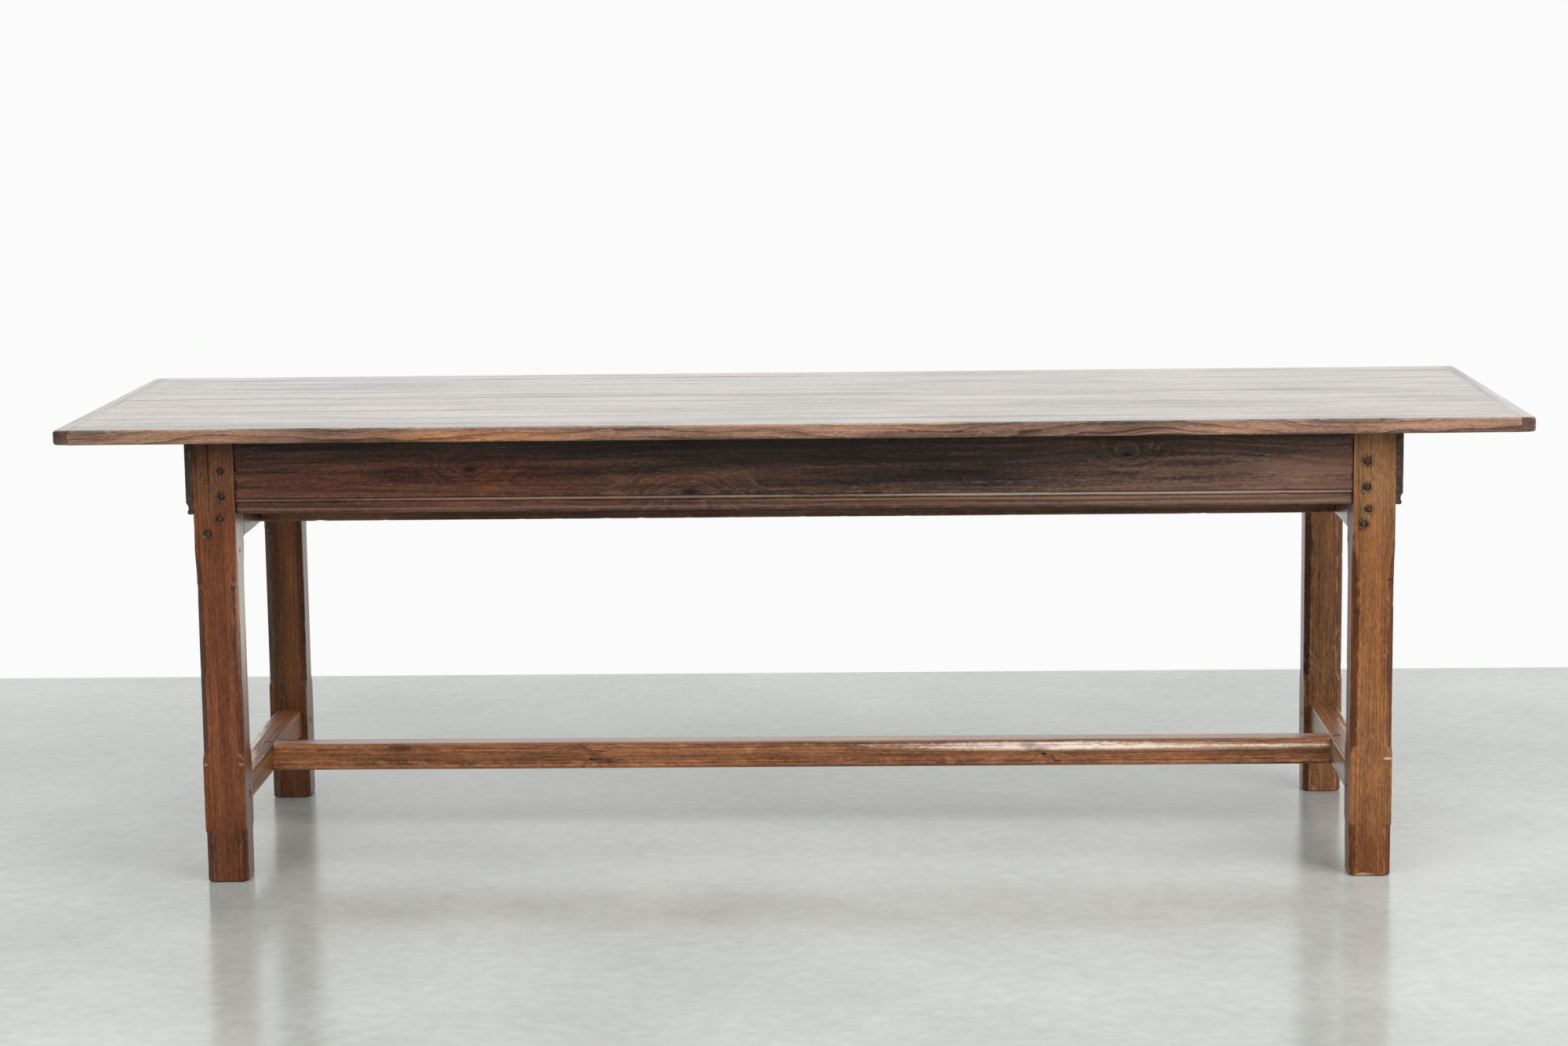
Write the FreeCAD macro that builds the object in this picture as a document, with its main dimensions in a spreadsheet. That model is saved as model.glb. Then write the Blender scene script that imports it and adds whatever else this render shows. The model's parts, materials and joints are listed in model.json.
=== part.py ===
"""Old oak dining table: a boarded top with end cleats on a pegged frame, a drawer at each end.

Millimetres, +Z up. The origin is on the floor under the middle of the top, +X runs along the
table and -Y is the front.
"""
import FreeCAD, Part
import Sketcher
import math
import os

from FreeCAD import Placement, Rotation, Vector

SIZES = {
    # top
    "table_height": 760, "top_length": 2370, "top_depth": 790,
    "board_thick": 25, "joint_chamfer": 0.7, "front_round": 3, "under_round": 2,
    "joint_a": -157, "joint_b": 35, "joint_c": 329,
    "cleat_width": 24, "cleat_thick": 24, "cleat_corner": 8, "cleat_arris": 1.2,
    "tongue_thick": 8, "tongue_length": 11.5, "groove_depth": 12, "tongue_stop": 20,
    # legs
    "leg": 68, "leg_height": 735, "leg_x": 938, "leg_y": 307,
    "chamfer_depth": 7, "tongue_high": 564, "tongue_low": 497, "tongue_nick": 1.6,
    "tongue_radius": 130, "tongue_turn": 30, "tongue_turn_depth": 2.5,
    "block_high": 205, "block_low": 91, "stop_rise": 1.5, "stop_run": 11, "foot_chamfer": 2.5,
    "stub": 36, "stub_height": 14,
    # aprons
    "apron_height": 121, "apron_thick": 26, "apron_recess": 3, "apron_length": 1808,
    "apron_tenon": 45, "apron_tenon_thick": 10, "apron_tenon_low": 16, "apron_tenon_high": 113,
    # moulding along the lower edge of the aprons and of the drawer fronts
    "low_bead_set_back": 3.9, "low_bead_high": 7.5, "low_bead_radius": 5,
    "cove_high": 17.5, "cove_edge": 1, "cove_radius": 12,
    "top_bead": 3.2, "top_bead_low": 18, "quirk": 1,
    # rails under the drawers
    "rail_low": 568, "rail_height": 46, "rail_width": 54, "rail_length": 546,
    "runner_low": 569, "runner_height": 45, "runner_thick": 34, "runner_y": 105,
    "runner_length": 1808, "runner_tenon": 20, "runner_tenon_thick": 14, "runner_tenon_height": 28,
    # stretchers
    "stretcher_low": 117, "stretcher_height": 46, "stretcher_width": 46,
    "side_length": 546, "side_tenon": 42,
    "centre_length": 1830, "centre_width": 44, "centre_tenon": 30,
    "stretcher_tenon_thick": 14, "stretcher_tenon_height": 34, "centre_tenon_thick": 22,
    "arris": 4, "scratch": 1.2, "scratch_deep": 2, "scratch_at": 9,
    # pegs
    "peg_room": 0.2, "mortise_room": 2, "peg_sink": 0.6,
    "apron_peg": 5, "apron_peg_in": 22, "apron_peg_high": 684, "apron_peg_low": 642,
    "apron_peg_length": 42,
    "rail_peg": 4.5, "rail_peg_length": 108, "rail_peg_in": 25, "rail_peg_high": 606,
    "rail_peg_low": 582, "low_peg_in_left": 46, "low_peg_in_right": 17,
    "stretcher_peg": 5, "stretcher_peg_in": 26,
    "cross_peg": 5.5, "cross_peg_in": 10, "cross_peg_length": 38,
    "peg_sides": 8,
    "old_hole": 3.5, "old_hole_high": 550, "old_hole_deep": 22,
    # drawers
    "lip": 11.5, "lip_gap": 0.3, "lip_length": 680, "drawer_air": 2,
    "front_thick": 22.5, "front_width": 540, "box_width": 536, "box_depth": 412,
    "side_thick": 12, "side_height": 93.5, "back_thick": 10, "back_height": 83.5, "back_in": 394,
    "bottom_thick": 8, "running_gap": 0.5, "front_groove": 6, "back_groove": 5,
    # slack beyond a face, so that a cut opens it cleanly
    "over": 1,
}

doc = FreeCAD.newDocument("dining_table")
sheet = doc.addObject("Spreadsheet::Sheet", "Sizes")
for row, (name, size) in enumerate(SIZES.items(), start=1):
    sheet.set("A%d" % row, name)
    sheet.set("B%d" % row, str(size))
    sheet.setAlias("B%d" % row, name)
doc.recompute()

sub_parts = []

# edges are found by their place, to within this distance
NEAR = 0.1


# A size is written as text, such as "leg / 2 - apron_recess": sums of products of sheet names
# and plain numbers, with a space on each side of every sign.

def formula(text):
    """The text as an expression on the sheet."""
    words = [("Sizes." + word) if word in SIZES else word for word in text.split()]
    return " ".join(words)


def number(text):
    """The value of the same text, for a sketch's first guess."""
    total, product, sign, divide = 0.0, None, 1, False
    for word in text.split():
        if word in "+-":
            total += sign * (product if product is not None else 0)
            sign = -1 if word == "-" else 1
            product = None
        elif word in "*/":
            divide = word == "/"
        else:
            value = float(getattr(sheet, word)) if word in SIZES else float(word)
            if product is None:
                product = value
            else:
                product = product / value if divide else product * value
    return total + sign * product


def flipped(text, side):
    """The text, or its negative where side is -1."""
    if side > 0:
        return text
    words = text.split()
    if words[0] != "-":
        words = ["+"] + words
    swap = {"+": "-", "-": "+"}
    words = [swap.get(word, word) for word in words]
    return " ".join(["0"] + words)


def new_body(label, x="0", y="0", z="0", turn=0):
    """A body, placed by the sheet and turned about the vertical."""
    body = doc.addObject("PartDesign::Body", label)
    body.Label = label
    body.Placement = Placement(Vector(0, 0, 0), Rotation(Vector(0, 0, 1), turn))
    for axis, text in (("x", x), ("y", y), ("z", z)):
        body.setExpression("Placement.Base." + axis, formula(text))
    sub_parts.append(body)
    return body


def new_sketch(body, plane, offset="0", turn=0):
    """A sketch on one of the body's origin planes; the offset is the world coordinate."""
    sketch = body.newObject("Sketcher::SketchObject", body.Label + "_sketch")
    base = [item for item in body.Origin.OriginFeatures if item.Role == plane][0]
    sketch.AttachmentSupport = [(base, "")]
    sketch.MapMode = "FlatFace"
    sketch.AttachmentOffset = Placement(Vector(0, 0, 0), Rotation(Vector(0, 1, 0), turn))
    # the normal of the XZ plane points to -Y
    along_normal = flipped(offset, -1) if plane == "XZ_Plane" else offset
    sketch.setExpression("AttachmentOffset.Base.z", formula(along_normal))
    return sketch


def hold(sketch, geometry, point, x, y):
    """Dimension one point of the sketch from its origin."""
    for kind, axis, text in (("DistanceX", -2, x), ("DistanceY", -1, y)):
        if number(text) == 0:
            sketch.addConstraint(Sketcher.Constraint("PointOnObject", geometry, point, axis))
        else:
            index = sketch.addConstraint(
                Sketcher.Constraint(kind, -1, 1, geometry, point, number(text)))
            sketch.setExpression("Constraints[%d]" % index, formula(text))


def arc_between(start, end, radius, bulge):
    """An arc, and which of its ends comes first; bulge is 1 where it turns left, -1 right."""
    chord = end - start
    rise = math.sqrt(max(radius ** 2 - (chord.Length / 2) ** 2, 0))
    across = Vector(-chord.y, chord.x, 0).normalize()
    centre = (start + end) / 2 + across * rise * bulge
    first, last = (start, end) if bulge > 0 else (end, start)
    angles = [math.atan2(point.y - centre.y, point.x - centre.x) for point in (first, last)]
    circle = Part.Circle(centre, Vector(0, 0, 1), radius)
    return Part.ArcOfCircle(circle, *angles), (1, 2) if bulge > 0 else (2, 1)


def outline(sketch, corners):
    """A closed outline. A corner is (x, y), or (x, y, radius, bulge) where an arc leads to it."""
    points = [Vector(number(corner[0]), number(corner[1]), 0) for corner in corners]
    ends = []
    for index, corner in enumerate(corners):
        start, end = points[index - 1], points[index]
        if len(corner) == 2:
            geometry = sketch.addGeometry(Part.LineSegment(start, end))
            ends.append((geometry, 1, 2))
        else:
            arc, order = arc_between(start, end, number(corner[2]), corner[3])
            geometry = sketch.addGeometry(arc)
            ends.append((geometry, order[0], order[1]))
    for index, corner in enumerate(corners):
        geometry, _, last = ends[index]
        following, first, _ = ends[(index + 1) % len(corners)]
        sketch.addConstraint(Sketcher.Constraint("Coincident", geometry, last, following, first))
        hold(sketch, geometry, last, corner[0], corner[1])
        if len(corner) > 2:
            index = sketch.addConstraint(
                Sketcher.Constraint("Radius", geometry, number(corner[2])))
            sketch.setExpression("Constraints[%d]" % index, formula(corner[2]))


def rectangle(sketch, left, low, right, high):
    outline(sketch, [(left, low), (right, low), (right, high), (left, high)])


def circle(sketch, x, y, radius):
    middle = Vector(number(x), number(y), 0)
    geometry = sketch.addGeometry(Part.Circle(middle, Vector(0, 0, 1), number(radius)))
    hold(sketch, geometry, 3, x, y)
    index = sketch.addConstraint(Sketcher.Constraint("Radius", geometry, number(radius)))
    sketch.setExpression("Constraints[%d]" % index, formula(radius))


def extrude(body, kind, sketch, thick):
    """Pad or pocket a sketch evenly to both sides of its plane."""
    feature = body.newObject("PartDesign::" + kind, body.Label + "_" + kind.lower())
    feature.Profile = sketch
    feature.SideType = "Symmetric"
    feature.setExpression("Length", formula(thick))
    body.Tip = feature
    return feature


def slab(body, kind, plane, offset, thick, box):
    """A square-cornered block added to the body (Pad) or cut from it (Pocket)."""
    sketch = new_sketch(body, plane, offset)
    rectangle(sketch, *box)
    return extrude(body, kind, sketch, thick)


def bore(body, plane, offset, deep, centres, radius):
    """Round holes, evenly to both sides of a plane."""
    sketch = new_sketch(body, plane, offset)
    for x, y in centres:
        circle(sketch, x, y, radius + " + peg_room")
    return extrude(body, "Pocket", sketch, deep)


def dress(body, kind, size, wanted):
    """Round or chamfer the edges of the body that the test picks."""
    doc.recompute()
    base = body.Tip
    names = ["Edge%d" % index for index, edge in enumerate(base.Shape.Edges, start=1)
             if wanted(edge)]
    feature = body.newObject("PartDesign::" + kind, body.Label + "_" + kind.lower())
    feature.Base = (base, names)
    feature.setExpression("Radius" if kind == "Fillet" else "Size", formula(size))
    body.Tip = feature
    return feature


def along_x(edge):
    return edge.BoundBox.XLength > 0.9 * edge.Length


def along_y(edge):
    return edge.BoundBox.YLength > 0.9 * edge.Length


def middle(edge):
    return edge.BoundBox.Center


# Top boards, front to back: the strips between the joints, with a tongue into each cleat.

def top_board(label, front, back, tongue_front, tongue_back, leg_line=None, worn_side=0):
    body = new_body(label)
    low = "table_height - board_thick"
    sketch = new_sketch(body, "YZ_Plane")
    front_cut = " + joint_chamfer" if worn_side >= 0 else ""
    back_cut = " - joint_chamfer" if worn_side <= 0 else ""
    outline(sketch, [corner for corner in (
        (front, low),
        (back, low),
        (back, "table_height - joint_chamfer") if back_cut else None,
        (back + back_cut, "table_height"),
        (front + front_cut, "table_height"),
        (front, "table_height - joint_chamfer") if front_cut else None,
    ) if corner])
    extrude(body, "Pad", sketch, "top_length - cleat_width * 2")
    middle_height = "table_height - cleat_thick / 2"
    slab(body, "Pad", "YZ_Plane", "0", "top_length - cleat_width * 2 + tongue_length * 2",
         (tongue_front, middle_height + " - tongue_thick / 2",
          tongue_back, middle_height + " + tongue_thick / 2"))
    if leg_line:
        for end in (-1, 1):
            leg_x = flipped("leg_x", end)
            slab(body, "Pocket", "XY_Plane", "table_height - board_thick",
                 "stub_height * 2 + mortise_room * 2",
                 (leg_x + " - stub / 2", leg_line + " - stub / 2",
                  leg_x + " + stub / 2", leg_line + " + stub / 2"))
    if worn_side:
        edge_y = worn_side * SIZES["top_depth"] / 2
        top = SIZES["table_height"]
        bottom = top - SIZES["board_thick"]
        dress(body, "Fillet", "front_round", lambda edge: along_x(edge)
              and abs(middle(edge).y - edge_y) < NEAR and abs(middle(edge).z - top) < NEAR)
        dress(body, "Fillet", "under_round", lambda edge: along_x(edge)
              and abs(middle(edge).y - edge_y) < NEAR and abs(middle(edge).z - bottom) < NEAR)
    return body


half_depth = "top_depth / 2"
top_board("top_board_front", flipped(half_depth, -1), "joint_a",
          flipped(half_depth, -1) + " + tongue_stop", "joint_a",
          flipped("leg_y", -1), worn_side=-1)
top_board("top_board_middle", "joint_a", "joint_b", "joint_a", "joint_b")
top_board("top_board_rear", "joint_b", "joint_c", "joint_b", "joint_c", "leg_y")
top_board("top_board_back_strip", "joint_c", half_depth,
          "joint_c", half_depth + " - tongue_stop", worn_side=1)


# End cleats, across the ends of the boards.

def cleat(label, side):
    body = new_body(label, x=flipped("top_length / 2 - cleat_width / 2", side),
                    z="table_height - cleat_thick")
    slab(body, "Pad", "XZ_Plane", "0", "top_depth",
         ("0 - cleat_width / 2", "0", "cleat_width / 2", "cleat_thick"))
    inner = flipped("cleat_width / 2 + over", -side)
    floor = flipped("cleat_width / 2 - groove_depth", -side)
    slab(body, "Pocket", "XZ_Plane", "0", "top_depth - tongue_stop * 2",
         (inner, "cleat_thick / 2 - tongue_thick / 2",
          floor, "cleat_thick / 2 + tongue_thick / 2"))
    outer_x = side * SIZES["cleat_width"] / 2
    dress(body, "Fillet", "cleat_corner", lambda edge: abs(middle(edge).x - outer_x) < NEAR
          and edge.BoundBox.ZLength > NEAR)
    dress(body, "Chamfer", "cleat_arris", lambda edge: along_y(edge)
          and middle(edge).z > SIZES["cleat_thick"] - NEAR
          and abs(middle(edge).x - outer_x) < NEAR)
    return body


cleat("cleat_left", -1)
cleat("cleat_right", 1)


# Legs. Here each leg stands at its own axis; toward_x and toward_y point to the table's middle.

def leg(label, toward_x, toward_y, low_peg_in, old_hole_y=None):
    body = new_body(label, x=flipped("leg_x", -toward_x), y=flipped("leg_y", -toward_y))
    slab(body, "Pad", "XY_Plane", "leg_height / 2", "leg_height",
         ("0 - leg / 2", "0 - leg / 2", "leg / 2", "leg / 2"))
    # stub tenon, into the underside of the top
    slab(body, "Pad", "XY_Plane", "leg_height", "stub_height * 2",
         ("0 - stub / 2", "0 - stub / 2", "stub / 2", "stub / 2"))

    # mortise for the apron's tenon
    tenon_y = flipped("leg / 2 - apron_recess - apron_thick / 2", -toward_y)
    apron_low = "leg_height - apron_height + apron_tenon_low"
    apron_high = "leg_height - apron_height + apron_tenon_high"
    slab(body, "Pocket", "XZ_Plane", tenon_y, "apron_tenon_thick",
         (flipped("leg / 2 - apron_tenon - mortise_room", toward_x), apron_low,
          flipped("leg / 2 + over", toward_x), apron_high))

    # mortise for the side stretcher's tenon
    stretcher_middle = "stretcher_low + stretcher_height / 2"
    slab(body, "Pocket", "YZ_Plane", "0", "stretcher_tenon_thick",
         (flipped("leg / 2 - side_tenon - mortise_room", toward_y),
          stretcher_middle + " - stretcher_tenon_height / 2",
          flipped("leg / 2 + over", toward_y),
          stretcher_middle + " + stretcher_tenon_height / 2"))

    # peg holes: apron tenon, end rail and stretcher tenon
    peg_x = flipped("leg / 2 - apron_peg_in", toward_x)
    bore(body, "XZ_Plane", flipped("leg / 2", -toward_y), "apron_peg_length * 2",
         [(peg_x, "apron_peg_high"), (peg_x, "apron_peg_low")], "apron_peg")
    bore(body, "XZ_Plane", "0", "leg + over * 2",
         [(flipped("leg / 2 - rail_peg_in", toward_x), "rail_peg_high"),
          (flipped("leg / 2 - " + low_peg_in, toward_x), "rail_peg_low")], "rail_peg")
    bore(body, "YZ_Plane", "0", "leg + over * 2",
         [(flipped("leg / 2 - stretcher_peg_in", toward_y), stretcher_middle)], "stretcher_peg")
    if old_hole_y:
        bore(body, "YZ_Plane", flipped("leg / 2", toward_x), "old_hole_deep * 2",
             [(old_hole_y, "old_hole_high")], "old_hole")

    # stopped chamfer, drawn on the diagonal plane: a lamb's tongue above, plain stops below
    corner = "leg / 2 * %.6f" % math.sqrt(2)
    flat = corner + " - chamfer_depth"
    sketch = new_sketch(body, "XZ_Plane", turn=45)
    outline(sketch, [
        (corner + " + over", "block_high - stop_rise"),
        (corner + " + over", "tongue_high"),
        (corner, "tongue_high"),
        (flat + " + tongue_nick + tongue_turn_depth", "tongue_high - tongue_turn",
         "tongue_radius", -1),
        (flat + " + tongue_nick", "tongue_low", "tongue_radius", 1),
        (flat, "tongue_low"),
        (flat, "block_high + stop_run"),
    ])
    outline(sketch, [
        (corner + " + over", "0 - over"),
        (corner + " + over", "block_low + stop_rise"),
        (flat, "block_low - stop_run"),
        (flat, "0 - over"),
    ])
    chamfer = extrude(body, "Pocket", sketch, "chamfer_depth * 3")
    pattern = body.newObject("PartDesign::PolarPattern", label + "_corners")
    pattern.Originals = [chamfer]
    upright = [item for item in body.Origin.OriginFeatures if item.Role == "Z_Axis"][0]
    pattern.Axis = (upright, [""])
    pattern.Angle = 360
    pattern.Occurrences = 4
    body.Tip = pattern
    dress(body, "Chamfer", "foot_chamfer", lambda edge: edge.BoundBox.ZMax < NEAR)
    return body


leg("leg_front_left", 1, 1, "low_peg_in_left", old_hole_y="0 - 5")
leg("leg_front_right", -1, 1, "low_peg_in_right", old_hole_y="20")
leg("leg_back_left", 1, -1, "low_peg_in_left")
leg("leg_back_right", -1, -1, "low_peg_in_right")


# Lower edge of an apron or a drawer front, from the underside up, with the face at depth 0:
# a bead, a cove, a larger bead and the quirk above it.

def moulding(face):
    """The corners as functions of depth behind the face; face turns a depth into a coordinate."""
    return [
        (face("low_bead_set_back"), "0"),
        (face("low_bead_set_back"), "low_bead_high", "low_bead_radius", -1),
        (face("cove_edge"), "cove_high", "cove_radius", 1),
        (face("top_bead"), "top_bead_low"),
        (face("0"), "top_bead_low + top_bead", "top_bead", -1),
        (face("top_bead"), "top_bead_low + top_bead * 2", "top_bead", -1),
        (face("top_bead"), "top_bead_low + top_bead * 2 + quirk"),
        (face("0"), "top_bead_low + top_bead * 2 + quirk"),
    ]


def apron(label, side):
    """Drawn as the front apron; the back one is the same board turned round."""
    body = new_body(label, y=flipped("leg_y + leg / 2 - apron_recess", side),
                    z="leg_height - apron_height", turn=0 if side < 0 else 180)
    sketch = new_sketch(body, "YZ_Plane")
    outline(sketch, moulding(lambda depth: depth) + [
        ("0", "apron_height"), ("apron_thick", "apron_height"), ("apron_thick", "0")])
    extrude(body, "Pad", sketch, "apron_length")
    slab(body, "Pad", "YZ_Plane", "0", "apron_length + apron_tenon * 2",
         ("apron_thick / 2 - apron_tenon_thick / 2", "apron_tenon_low",
          "apron_thick / 2 + apron_tenon_thick / 2", "apron_tenon_high"))
    centres = []
    for end in (-1, 1):
        for height in ("apron_peg_high", "apron_peg_low"):
            centres.append((flipped("leg_x - leg / 2 + apron_peg_in", end),
                            height + " - leg_height + apron_height"))
    bore(body, "XZ_Plane", "apron_thick / 2", "apron_thick", centres, "apron_peg")
    return body


apron("apron_front", -1)
apron("apron_back", 1)


# Rails that carry the drawers: one across each end, flush with the legs' inner faces, and two
# runners between them.

rail_out = "leg_x - leg / 2 + rail_width / 2"


def end_rail(label, side, low_peg_in):
    body = new_body(label, x=flipped(rail_out, side), z="rail_low")
    slab(body, "Pad", "XZ_Plane", "0", "rail_length",
         ("0 - rail_width / 2", "0", "rail_width / 2", "rail_height"))
    for end in (-1, 1):
        bore(body, "XZ_Plane", flipped("rail_length / 2", end),
             "rail_peg_length * 2 - leg * 2 + over * 4",
             [(flipped("rail_width / 2 - rail_peg_in", -side), "rail_peg_high - rail_low"),
              (flipped("rail_width / 2 - " + low_peg_in, -side), "rail_peg_low - rail_low")],
             "rail_peg")
        runner_middle = "runner_low - rail_low + runner_height / 2"
        slab(body, "Pocket", "XZ_Plane", flipped("runner_y", end), "runner_tenon_thick",
             (flipped("rail_width / 2 - runner_tenon - mortise_room", -side),
              runner_middle + " - runner_tenon_height / 2",
              flipped("rail_width / 2 + over", -side),
              runner_middle + " + runner_tenon_height / 2"))
    return body


end_rail("end_rail_left", -1, "low_peg_in_left")
end_rail("end_rail_right", 1, "low_peg_in_right")


def runner(label, side):
    body = new_body(label, y=flipped("runner_y", side), z="runner_low")
    slab(body, "Pad", "YZ_Plane", "0", "runner_length",
         ("0 - runner_thick / 2", "0", "runner_thick / 2", "runner_height"))
    slab(body, "Pad", "YZ_Plane", "0", "runner_length + runner_tenon * 2",
         ("0 - runner_tenon_thick / 2", "runner_height / 2 - runner_tenon_height / 2",
          "runner_tenon_thick / 2", "runner_height / 2 + runner_tenon_height / 2"))
    dress(body, "Chamfer", "under_round", lambda edge: along_x(edge) and middle(edge).z < NEAR)
    return body


runner("runner_front", -1)
runner("runner_back", 1)


# Stretchers, with a worn round arris and a scratched line beside it.

def side_stretcher(label, side):
    """The line runs along the top, near the outer arris."""
    body = new_body(label, x=flipped("leg_x", side), z="stretcher_low")
    sketch = new_sketch(body, "XZ_Plane")
    out = "stretcher_width / 2"
    line = out + " - scratch_at"
    outline(sketch, [
        (flipped(out, -side), "0"),
        (flipped(out, side), "0"),
        (flipped(out, side), "stretcher_height - arris"),
        (flipped(out + " - arris", side), "stretcher_height", "arris", side),
        (flipped(line + " + scratch", side), "stretcher_height"),
        (flipped(line + " + scratch / 2", side), "stretcher_height - scratch_deep"),
        (flipped(line, side), "stretcher_height"),
        (flipped(out + " - arris", -side), "stretcher_height"),
        (flipped(out, -side), "stretcher_height - arris", "arris", side),
    ])
    extrude(body, "Pad", sketch, "side_length")
    slab(body, "Pad", "XZ_Plane", "0", "side_length + side_tenon * 2",
         ("0 - stretcher_tenon_thick / 2",
          "stretcher_height / 2 - stretcher_tenon_height / 2",
          "stretcher_tenon_thick / 2",
          "stretcher_height / 2 + stretcher_tenon_height / 2"))
    # mortise for the centre stretcher, the peg hole above it, and the holes in the tenons
    slab(body, "Pocket", "XZ_Plane", "0", "centre_tenon_thick",
         (flipped(out + " - centre_tenon - mortise_room", -side),
          "stretcher_height / 2 - stretcher_tenon_height / 2",
          flipped(out + " + over", -side),
          "stretcher_height / 2 + stretcher_tenon_height / 2"))
    bore(body, "XY_Plane", "stretcher_height", "cross_peg_length * 2 + over * 2",
         [(flipped(out + " - cross_peg_in", -side), "0")], "cross_peg")
    bore(body, "YZ_Plane", "0", "stretcher_tenon_thick + over * 2",
         [(flipped("side_length / 2 + stretcher_peg_in", end), "stretcher_height / 2")
          for end in (-1, 1)], "stretcher_peg")
    return body


side_stretcher("side_stretcher_left", -1)
side_stretcher("side_stretcher_right", 1)


def centre_stretcher(label):
    """A line runs below the upper arris and above the lower one, on both long faces."""
    body = new_body(label, z="stretcher_low")
    sketch = new_sketch(body, "YZ_Plane")
    out = "centre_width / 2"
    corners = [("0 - centre_width / 2 + arris", "0"), (out + " - arris", "0")]
    for side in (1, -1):
        rising = [
            ("arris", out, "arris", 1),
            ("scratch_at", out), ("scratch_at + scratch / 2", out + " - scratch_deep"),
            ("scratch_at + scratch", out),
            ("stretcher_height - scratch_at - scratch", out),
            ("stretcher_height - scratch_at - scratch / 2", out + " - scratch_deep"),
            ("stretcher_height - scratch_at", out),
            ("stretcher_height - arris", out),
            ("stretcher_height", out + " - arris", "arris", 1),
        ]
        if side < 0:
            # down the other face: the same heights in reverse, each arc led to from its far end
            rising = [
                ("stretcher_height", out + " - arris"),
                ("stretcher_height - arris", out, "arris", 1),
            ] + [corner[:2] for corner in rising[6:0:-1]] + [
                ("arris", out), ]
        for corner in rising:
            height, across = corner[:2]
            corners.append((flipped(across, side), height) + tuple(corner[2:]))
    corners[0] = corners[0] + ("arris", 1)
    outline(sketch, corners)
    extrude(body, "Pad", sketch, "centre_length")
    slab(body, "Pad", "YZ_Plane", "0", "centre_length + centre_tenon * 2",
         ("0 - centre_tenon_thick / 2",
          "stretcher_height / 2 - stretcher_tenon_height / 2",
          "centre_tenon_thick / 2",
          "stretcher_height / 2 + stretcher_tenon_height / 2"))
    bore(body, "XY_Plane", "stretcher_height / 2", "stretcher_height",
         [(flipped("centre_length / 2 + cross_peg_in", end), "0") for end in (-1, 1)],
         "cross_peg")
    return body


centre_stretcher("centre_stretcher")


# Pegs, whittled to eight sides: each group of equal ones is one sub-part of separate prisms.

def pegs(label, radius, length, places):
    """Eight-sided pegs from (x, y, z) along a direction, all of one size."""
    members = []
    for (x, y, z), direction in places:
        peg = doc.addObject("Part::Prism", label + "_peg")
        peg.setExpression("Polygon", formula("peg_sides"))
        peg.setExpression("Circumradius", formula(radius))
        peg.setExpression("Height", formula(length))
        peg.Placement = Placement(Vector(0, 0, 0), Rotation(Vector(0, 0, 1), Vector(*direction)))
        for axis, text in (("x", x), ("y", y), ("z", z)):
            peg.setExpression("Placement.Base." + axis, formula(text))
        members.append(peg)
    group = doc.addObject("Part::Compound", label)
    group.Label = label
    group.Links = members
    sub_parts.append(group)


four_legs = [(side_x, side_y) for side_x in (-1, 1) for side_y in (-1, 1)]
face_y = "leg_y + leg / 2 - peg_sink"
pegs("apron_pegs", "apron_peg", "apron_peg_length - peg_sink", [
    ((flipped("leg_x - leg / 2 + apron_peg_in", side_x), flipped(face_y, side_y), height),
     (0, -side_y, 0))
    for side_x, side_y in four_legs for height in ("apron_peg_high", "apron_peg_low")])
pegs("rail_pegs", "rail_peg", "rail_peg_length - peg_sink", [
    ((flipped("leg_x - leg / 2 + " + inward, side_x), flipped(face_y, side_y), height),
     (0, -side_y, 0))
    for side_x, side_y in four_legs
    for inward, height in (
        ("rail_peg_in", "rail_peg_high"),
        ("low_peg_in_left" if side_x < 0 else "low_peg_in_right", "rail_peg_low"))])
pegs("stretcher_pegs", "stretcher_peg", "leg - peg_sink * 2", [
    ((flipped("leg_x - leg / 2 + peg_sink", side_x),
      flipped("leg_y - leg / 2 + stretcher_peg_in", side_y),
      "stretcher_low + stretcher_height / 2"), (side_x, 0, 0))
    for side_x, side_y in four_legs])
pegs("cross_pegs", "cross_peg", "cross_peg_length - peg_sink", [
    ((flipped("leg_x - stretcher_width / 2 + cross_peg_in", side_x), "0",
      "stretcher_low + stretcher_height - peg_sink"), (0, 0, -1))
    for side_x in (-1, 1)])


# Drawers. Here x is 0 at the outer face of the front and grows toward the table's middle.

drawer_low = "leg_height - apron_height + running_gap"


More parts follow.
